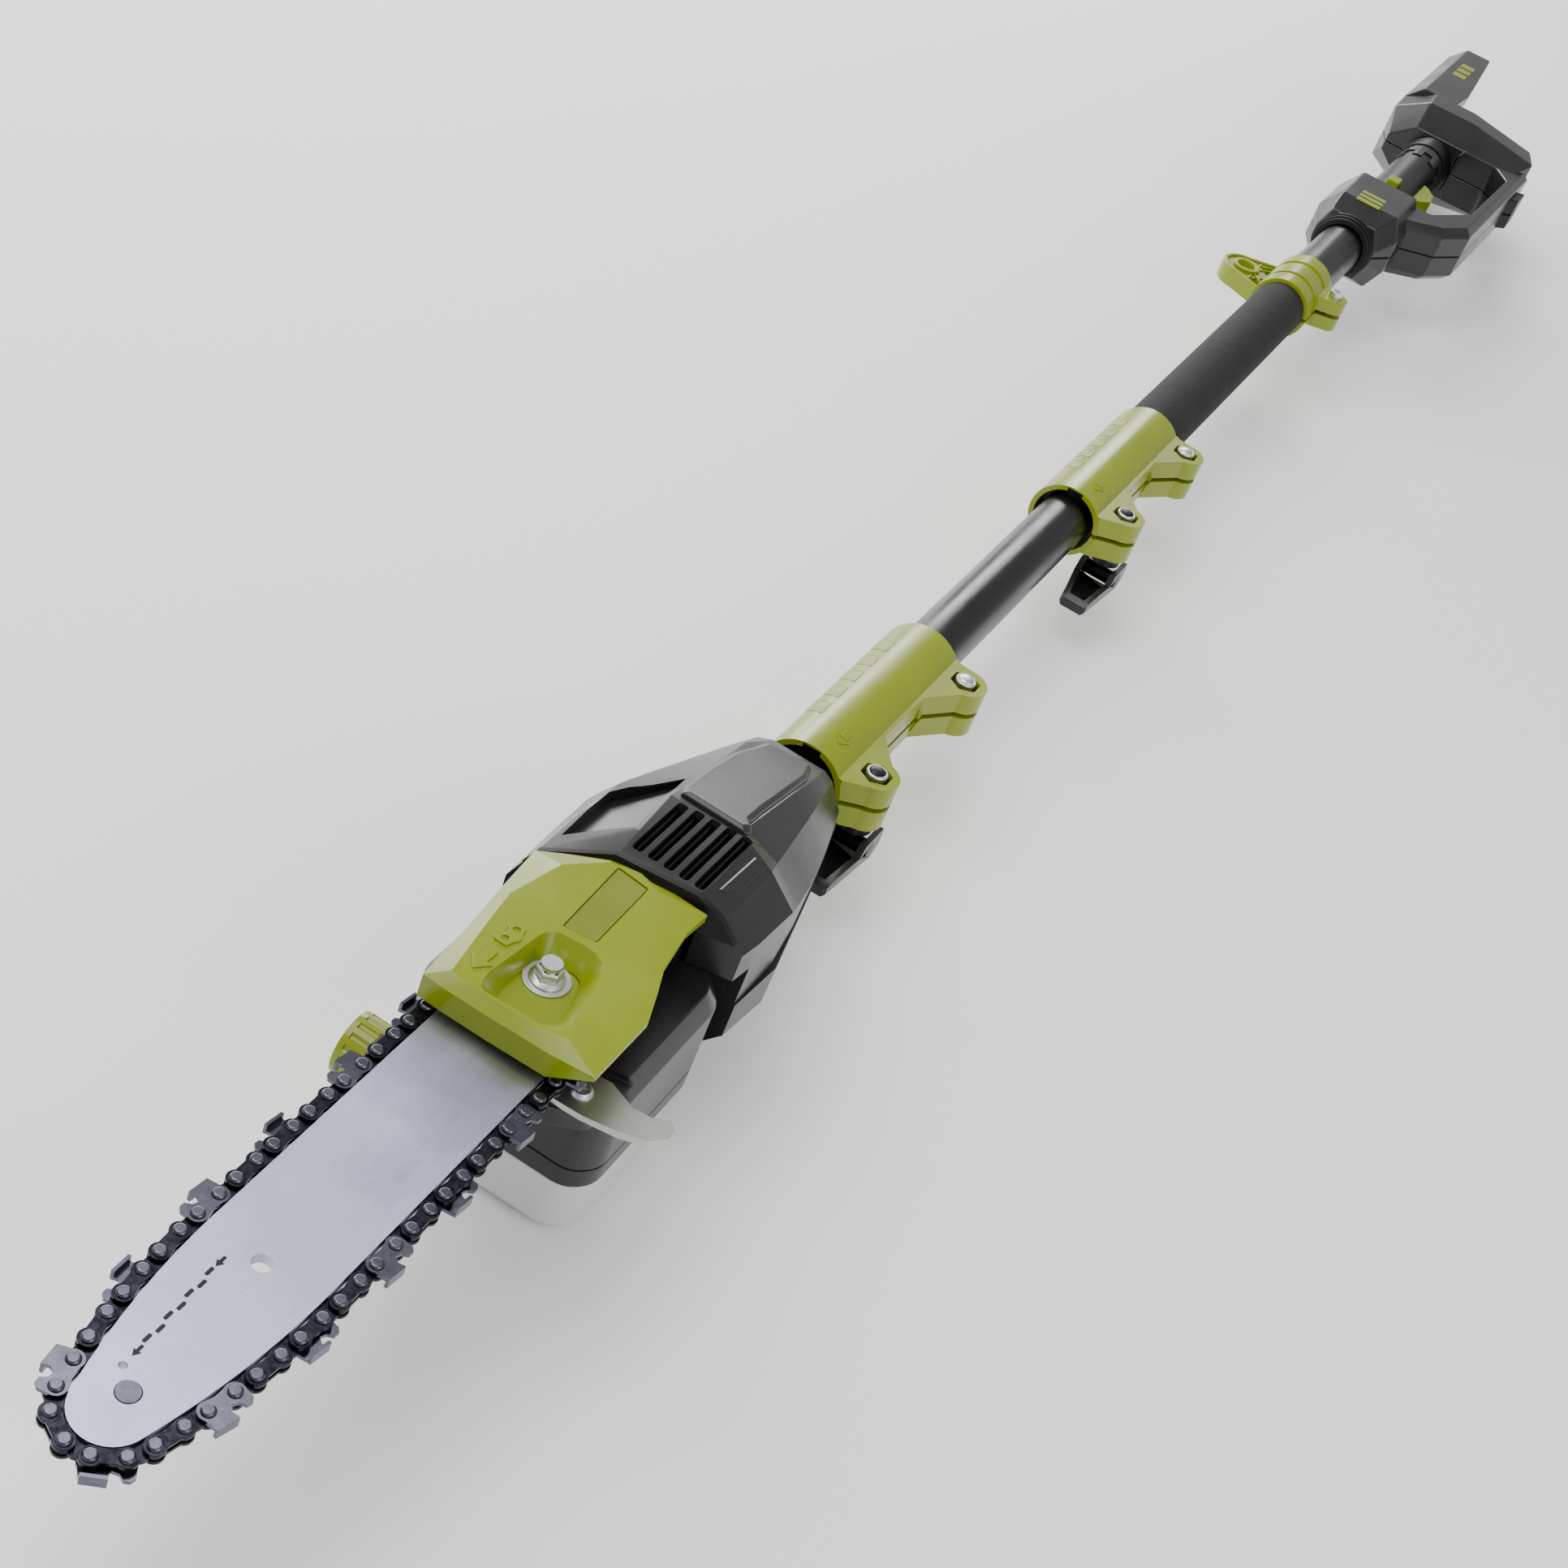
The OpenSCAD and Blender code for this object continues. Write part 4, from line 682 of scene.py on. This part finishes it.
def wrapOn(name, mouth, outline, radii):
    # a raised shape that follows the round sleeve; the outline is (along, across on the surface)
    return stack(name, [[onSleeve(mouth, x, y / clamp["sleeveRadius"], radius) for x, y in outline]
                        for radius in radii])


def makeClamps():
    for side, body, mouth in (("front", "middle_section", frontMouth), ("rear", "handle_section", rearMouth)):
        sleeve = cleanCopy(side + "ClampShell", side + "_clamp")
        finishPiece(sleeve, body, "green_plastic", [side + "_clamp"], 0.0009, 3, 28)
        arrow = wrapOn(side + "ClampArrow", mouth, clamp["arrow"], clamp["arrowRadius"])
        finishPiece(arrow, body, "green_plastic", (), 0.00012, 1)
        for i in range(clamp["pads"]):
            x, long = clamp["padX"] + clamp["padStep"] * i, clamp["padLong"]
            outline = [(x, 16), (x + 4, 22), (x + 4 + long, 22), (x + long, 16), (x + long - 4, 9), (x - 4, 9)]
            pad = wrapOn("%sClampPad%d" % (side, i + 1), mouth, roundCorners(outline, 1.5, 3), clamp["padRadius"])
            finishPiece(pad, body, "green_plastic", (), 0.0003, 2)
        for k, x in enumerate(clamp["lugX"]):
            centre = (mouth / mm + x, clamp["drop"])
            collar = stack("%sBoltRing%d" % (side, k + 1), [
                ring(circle(*centre, r, 32), z, atPole) for r, z in clamp["ringSteps"]])
            drill(collar, circle(*centre, clamp["domeRoom"], 24), 13.22, 20, atPole)
            finishPiece(collar, body, "bright_steel", (), 0.0002, 2)
            dome = stack("%sBoltDome%d" % (side, k + 1), [
                ring(circle(*centre, r, 28), z, atPole) for r, z in clamp["domeSteps"]])
            finishPiece(dome, body, "black_plastic" if k == 0 else "bright_steel", (), 0, 1, 50)


lever = {
    # side of the lever seen across the pole: along, down; the open side faces the lug
    "shell": [(-34, -9.8), (-34, -4.6), (-31, -2.4), (-15, 1.4), (-12.1, 1.8), (-9, 7.2), (9.6, 7.2), (11.8, 3),
              (12, -3), (9.4, -8), (6, -9.9)],
    "narrow": 7.6, "wide": 10.9,
    "cave": [(-31, -5.4), (-13, -6.6), (-2.4, -6.8), (-2.4, 9), (-13, 9), (-31, 9)],
    "slot": [(2.4, -12), (14, -12), (14, 9), (2.4, 9)],
    "bridge": [(-3, -6.8), (4, -6.8), (4, 9), (-3, 9)],
    "pin": (17, -27, -26), "pinRadius": 4.08, "pinSides": 28, "pinReach": 14, "slotHalf": 8.2,
    # across the lever, as a share of its half width, and how far its top reaches there
    "steps": ((-1, 0.82), (-0.8, 1.0), (0.8, 1.0), (1, 0.82)),
}


def leverHalf(x):
    if x < -30:
        return lever["narrow"]
    if x > -12.5:
        return lever["wide"]
    return lever["narrow"] + (lever["wide"] - lever["narrow"]) * (x + 34) / 22


def makeLevers():
    for side, body, mouth in (("front", "front_lever", frontMouth), ("rear", "rear_lever", rearMouth)):
        x0, y0, z0 = mouth / mm + lever["pin"][0], lever["pin"][1], lever["pin"][2]
        levels = []
        for across, reach in lever["steps"]:
            levels.append([atPole(x0 + (x if abs(across) < 1 or x > -12.5 else x * 0.98), y0 + across * leverHalf(x),
                                  z0 + z * (reach if z < 0 else 1)) for x, z in lever["shell"]])
        shell = stack(side + "LeverShell", levels)
        carve(shell, stack("cave", [[atPole(x0 + x, y0 + y * (6.2 if x < -30 else 10.6), z0 + z)
                                     for x, z in lever["cave"]] for y in (-0.72, 0.72)]))
        for key in ("slot", "bridge"):
            carve(shell, stack(key, [[atPole(x0 + x, y0 + y, z0 + z) for x, z in lever[key]]
                                     for y in (-lever["slotHalf"], lever["slotHalf"])]))
        turns = [k * 2 * math.pi / lever["pinSides"] for k in range(lever["pinSides"])]
        radius = lever["pinRadius"]
        carve(shell, stack("bore", [[atPole(x0 + radius * math.cos(a), y0 + y, z0 + radius * math.sin(a))
                                     for a in turns] for y in (-lever["pinReach"], lever["pinReach"])]))
        finishPiece(shell, body, "grey_plastic", [side + "_clamp_lever"], 0.0007, 2, 24)


makeClamps()
makeLevers()
print("stage: clamps and levers")

# ---- chain and bar ----
mark = {
    # printed marks near the nose: a row of small links between two arrows
    "from": (-266.2, 6.2), "to": (-224.8, 8.6), "count": 9, "z": 35.14, "thick": 0.08, "shift": 0.5,
}


def makeBar():
    straps = cleanCopy("chainStraps", "chain_tie_straps")
    finishPiece(straps, "saw_head", "chain_steel", ["chain_tie_straps"], 0.00028, 2, 30)
    cutters = cleanCopy("chainCutterLinks", "chain_cutters")
    finishPiece(cutters, "saw_head", "cutter_chrome", ["chain_cutters"], 0.00022, 2, 30)
    rivets = cleanCopy("chainRivetHeads", "chain_rivets")
    finishPiece(rivets, "saw_head", "dark_steel", ["chain_rivets"], 0.0009, 3, 30)
    (x0, y0), (x1, y1) = mark["from"], mark["to"]
    for i in range(mark["count"]):
        t = i / (mark["count"] - 1)
        x, y = x0 + (x1 - x0) * t, y0 + (y1 - y0) * t
        if 0 < i < mark["count"] - 1:
            shape = roundCorners(rectangle(x - 1.9, x + 1.9, y - 0.7, y + 0.7), 0.6, 3)
            shape = [(a, b + (mark["shift"] if i % 2 else -mark["shift"])) for a, b in shape]
        else:
            shape = [(x - 2.6, y), (x, y + 1.5), (x, y + 0.6), (x + 2.4, y + 0.6), (x + 2.4, y - 0.6), (x, y - 0.6),
                     (x, y - 1.5)]
        label = slab("barMark%d" % (i + 1), shape, mark["z"] - mark["thick"], mark["z"], atHead)
        finishPiece(label, "saw_head", "black_plastic", (), 0)


makeBar()
print("stage: chain and bar marks")

# ---- rear handle ----
handle = {
    "labels": ((142, 147, -10, 8, 28), (150, 155, -10, 8, 28), (158, 163, -10, 8, 28), (474, 484, 15, 26, 35),
               (488, 498, 15, 26, 35), (502, 512, 15, 26, 35)),
    # where each step of the collar starts, and its radius
    "collarSteps": ((117.2, 20.4), (120.2, 21.6), (123.2, 22.4)), "stepLong": 2.2,
    "collarBack": (119.2, 125.9, 19), "tubeRadius": 16.4,
    # the sleeve at the back of the grip: from, to, the foot of its teeth
    "gripCap": (314, 341, 325), "gripTeeth": 8, "capRadius": 18.6, "capBore": 17.2, "toothReach": 30,
}


def barAlong(name, x0, x1, radius, count=40):
    return stack(name, [[atPole(x, y, z) for y, z in circle(0, 0, radius, count)] for x in (x0, x1)])


def makeHandle():
    for i, (x, radius) in enumerate(handle["collarSteps"]):
        step = barAlong("collarStep%d" % (i + 1), x, x + handle["stepLong"], radius)
        carve(step, barAlong("bore", x - 1, x + 4, handle["tubeRadius"]))
        finishPiece(step, "handle_section", "soft_rubber", ["collar_boot"] if i == 0 else (), 0.0006, 3)
    back = barAlong("collarBack", *handle["collarBack"])
    carve(back, barAlong("bore", 117, 128, handle["tubeRadius"]))
    finishPiece(back, "handle_section", "soft_rubber", (), 0.0003, 1)
    x0, x1, root = handle["gripCap"]
    cap = barAlong("gripCap", x0, x1, handle["capRadius"], 60)
    carve(cap, barAlong("bore", x0 - 1, x1 + 1, handle["capBore"]))
    teeth, reach = handle["gripTeeth"], handle["toothReach"]
    for i in range(teeth):
        a0, a1 = (2 * math.pi * (i + t) / teeth for t in (0.0, 0.5))
        wedge = [(0, 0)] + [(reach * math.cos(a), reach * math.sin(a)) for a in (a0, a1)]
        carve(cap, stack("notch", [[atPole(x, y, z) for y, z in wedge] for x in (x0 - 1, root)]))
    finishPiece(cap, "handle_section", "grey_plastic", (), 0.0003, 2)


handleShell = {
    # cross sections as (across, up); collar and body say where along the pole, and how large, each one is
    "collar": [(126, 0.94, "front"), (129.5, 1, "front"), (144, 1, "wide"), (197, 1, "wide"), (201, 0.94, "wide")],
    "body": [(361, "bodyFront"), (385, "bodyMid"), (411, "bodyRear")],
    "front": [(-18, 21), (18, 21), (24, 5), (24, -5), (18, -21), (-18, -21), (-24, -5), (-24, 5)],
    "wide": [(-24, 28), (18, 28), (30, 12), (30, -12), (18, -28), (-24, -28), (-32, -12), (-32, 12)],
    "bodyFront": [(-62, 20), (-30, 20.5), (18, 20.5), (36, 6), (36, -6), (18, -20.5), (-30, -20.5), (-62, -20)],
    "bodyMid": [(-72, 27), (-18, 35), (20, 35), (44, 21), (44, -21), (20, -35), (-18, -35), (-72, -27)],
    "bodyRear": [(-64, 27), (-12, 35), (22, 35), (44, 23), (44, -23), (22, -35), (-12, -35), (-64, -27)],
    # outlines as (along, across), with the height each one has on either side of the seam
    "loop": [(160, -20), (168, -30), (184, -55), (210, -70), (385, -74), (385, -20)],
    "loopTop": [(166, -23), (173, -33.6), (187.6, -51.4), (211.4, -65), (380, -69), (380, -23)],
    "loopZ": (15.5, 21),
    "hand": [(202, -10), (202, -38), (241, -60), (343, -63), (360.5, -50), (360.5, -10)],
    "foot": [(331, -70), (357, -70), (363, -79), (341, -79)], "footZ": 12,
    "rail": [(410, 10), (530, 12), (530, 17), (410, 17)], "railZ": (22, 28),
    "pockets": ((355, 368, -50, -20, 14), (405, 415, 2, 26, 17)),
    # along the pole, the cheeks' lower edge, how far the section is drawn in
    "docks": [(409, 4, 0), (441, 2, 0), (552, 11.6, 0), (556, 12.4, 1.4)],
    "seam": (100, 620, -130, 60), "seamHalf": 0.2,
}


def seamed(piece):
    half = handleShell["seamHalf"]
    drill(piece, rectangle(*handleShell["seam"]), -half, half, atPole)
    return piece


def makeHandleShell():
    shape = handleShell
    collar = stack("handleCollar", [[atPole(x, y * scale, z * scale) for y, z in shape[key]]
                                    for x, scale, key in shape["collar"]])
    carve(collar, barAlong("bore", 120, 180, handle["tubeRadius"]))
    finishPiece(seamed(collar), "handle_section", "grey_plastic", ["handle_left", "handle_right"], 0.0012, 3, 16)
    body = stack("handleBody", [[atPole(x, y, z) for y, z in shape[key]] for x, key in shape["body"]])
    for x0, x1, y0, y1, half in shape["pockets"]:
        drill(body, rectangle(x0, x1, y0, y1), -half, half, atPole)
    finishPiece(seamed(body), "handle_section", "grey_plastic", (), 0.0012, 3, 16)
    edge, top = shape["loopZ"]
    loop = stack("handleLoop", [ring(shape["loopTop"], -top, atPole), ring(shape["loop"], -edge, atPole),
                                ring(shape["loop"], edge, atPole), ring(shape["loopTop"], top, atPole)])
    drill(loop, roundCorners(shape["hand"], 3, 4), -30, 30, atPole)
    finishPiece(seamed(loop), "handle_section", "grey_plastic", (), 0.001, 3, 16)
    levels = []
    for x, low, inset in shape["docks"]:
        section = [(low, 35 - inset), (32, 35 - inset), (44 - inset, 23), (44 - inset, -23), (32, -35 + inset),
                   (low, -35 + inset), (low, -27), (31, -27), (31, 27), (low, 27)]
        levels.append([atPole(x, y, z) for y, z in section])
    dock = stack("batteryDock", levels)
    finishPiece(seamed(dock), "handle_section", "grey_plastic", (), 0.0009, 3, 16)
    near, far = shape["railZ"]
    for name, side in (("batteryRail1", 1), ("batteryRail2", -1)):
        rail = slab(name, shape["rail"], side * near, side * far, atPole)
        finishPiece(rail, "handle_section", "black_plastic", (), 0.0007, 2)
    foot = slab("handleFoot", shape["foot"], -shape["footZ"], shape["footZ"], atPole)
    finishPiece(seamed(foot), "handle_section", "black_plastic", (), 0.001, 3)


def makeHandleLabels():
    for i, (x0, x1, y0, y1, z) in enumerate(handle["labels"]):
        outline = roundCorners(rectangle(x0, x1, y0, y1), 1, 3)
        label = slab("handleLabel%d" % (i + 1), outline, z - 0.6, z + 0.3, atPole)
        finishPiece(label, "handle_section", "green_plastic", (), 0.0001, 1)


makeHandle()
makeHandleShell()
makeHandleLabels()
print("stage: handle")

# ---- the hanger ear: a rim round its edge, a skirt below and a ring at the hole ----
ear = {
    "foot": (26, 15), "fieldFoot": (22, 18), "round": 16.1, "fieldRound": 13.4,
    "rimZ": (-8, 4.4), "ribs": ((-13, 19, -5, 27), (13, 19, 5, 27), (-16, 28.4, 16, 28.4)), "ribWide": 1.1,
    "hole": (0, 35), "holeRing": 9.4, "holeBore": 6.2, "holeZ": (2, 5.2),
}


def earOutline(foot, radius):
    # from one foot of the ear, round its end and back to the other foot
    turns = [math.radians(a) for a in range(10, 171, 10)]
    end = [(radius * math.cos(t), ear["hole"][1] + radius * math.sin(t)) for t in turns]
    return [foot] + end + [(-foot[0], foot[1])]


def makeEar():
    low, high = ear["rimZ"]
    rim = slab("hangerRim", earOutline(ear["foot"], ear["round"]), low, high, atPole)
    drill(rim, earOutline(ear["fieldFoot"], ear["fieldRound"]), low - 1, high + 1, atPole)
    finishPiece(rim, "handle_section", "green_plastic", (), 0.0005, 2)
    for i, (x0, y0, x1, y1) in enumerate(ear["ribs"]):
        run = Vector((x1 - x0, y1 - y0)).normalized() * ear["ribWide"] * 0.5
        points = [(x0 - run.y, y0 + run.x), (x0 + run.y, y0 - run.x),
                  (x1 + run.y, y1 - run.x), (x1 - run.y, y1 + run.x)]
        rib = slab("hangerRib%d" % (i + 1), points, 1, high - 0.5, atPole)
        finishPiece(rib, "handle_section", "green_plastic", (), 0.0003, 2)
    collar = slab("hangerHoleRing", circle(*ear["hole"], ear["holeRing"], 36), *ear["holeZ"], atPole)
    drill(collar, circle(*ear["hole"], ear["holeBore"], 36), 0, 8, atPole)
    finishPiece(collar, "handle_section", "green_plastic", (), 0.0005, 3)


makeEar()
print("stage: hanger ear")

# ---- the remaining parts, with softened edges ----
# name, CAD node, body, edge, segments and angle
softened = (
    ("gripSleeve", "grip_sleeve", "handle_section", 0.0006, 2, 30),
    ("triggerBlade", "trigger", "trigger", 0.0024, 4, 24),
    ("lockButton", "lock_button", "lock_button", 0.0008, 3, 30),
    ("hangerClamp", "hanger_clamp", "handle_section", 0.0009, 3, 28),
    ("hangerBolt", "hanger_bolt", "handle_section", 0.0004, 2, 30),
    ("motorShellRight", "motor_housing_right", "saw_head", 0.001, 3, 14),
    ("limbHook", "limb_hook", "saw_head", 0.0008, 3, 30),
    ("hookScrew", "hook_screw", "saw_head", 0.0006, 2, 30),
    ("oilCap", "oil_cap", "oil_cap", 0.0005, 2, 30),
    ("guideBar", "guide_bar", "saw_head", 0.0003, 2, 30),
    ("noseRivet", "nose_rivet", "saw_head", 0.0003, 2, 30),
    ("rearClampBolts", "rear_clamp_bolts", "handle_section", 0.0004, 2, 30),
    ("frontClampBolts", "front_clamp_bolts", "middle_section", 0.0004, 2, 30),
    ("foamGrip", "foam_grip", "handle_section", 0.0007, 3, 30),
)


# these look different from the material their CAD node names
otherFinish = {"rear_clamp_bolts": "black_steel", "front_clamp_bolts": "black_steel", "grip_sleeve": "black_plastic"}


def makeSoftened():
    for name, node, body, width, segments, angle in softened:
        finish = otherFinish.get(node, nodeSlot[node])
        finishPiece(cleanCopy(name, node), body, finish, [node], width, segments, angle)


makeSoftened()
print("stage: softened parts")

deselectAll()
makeStage()
print("stage: floor and light")
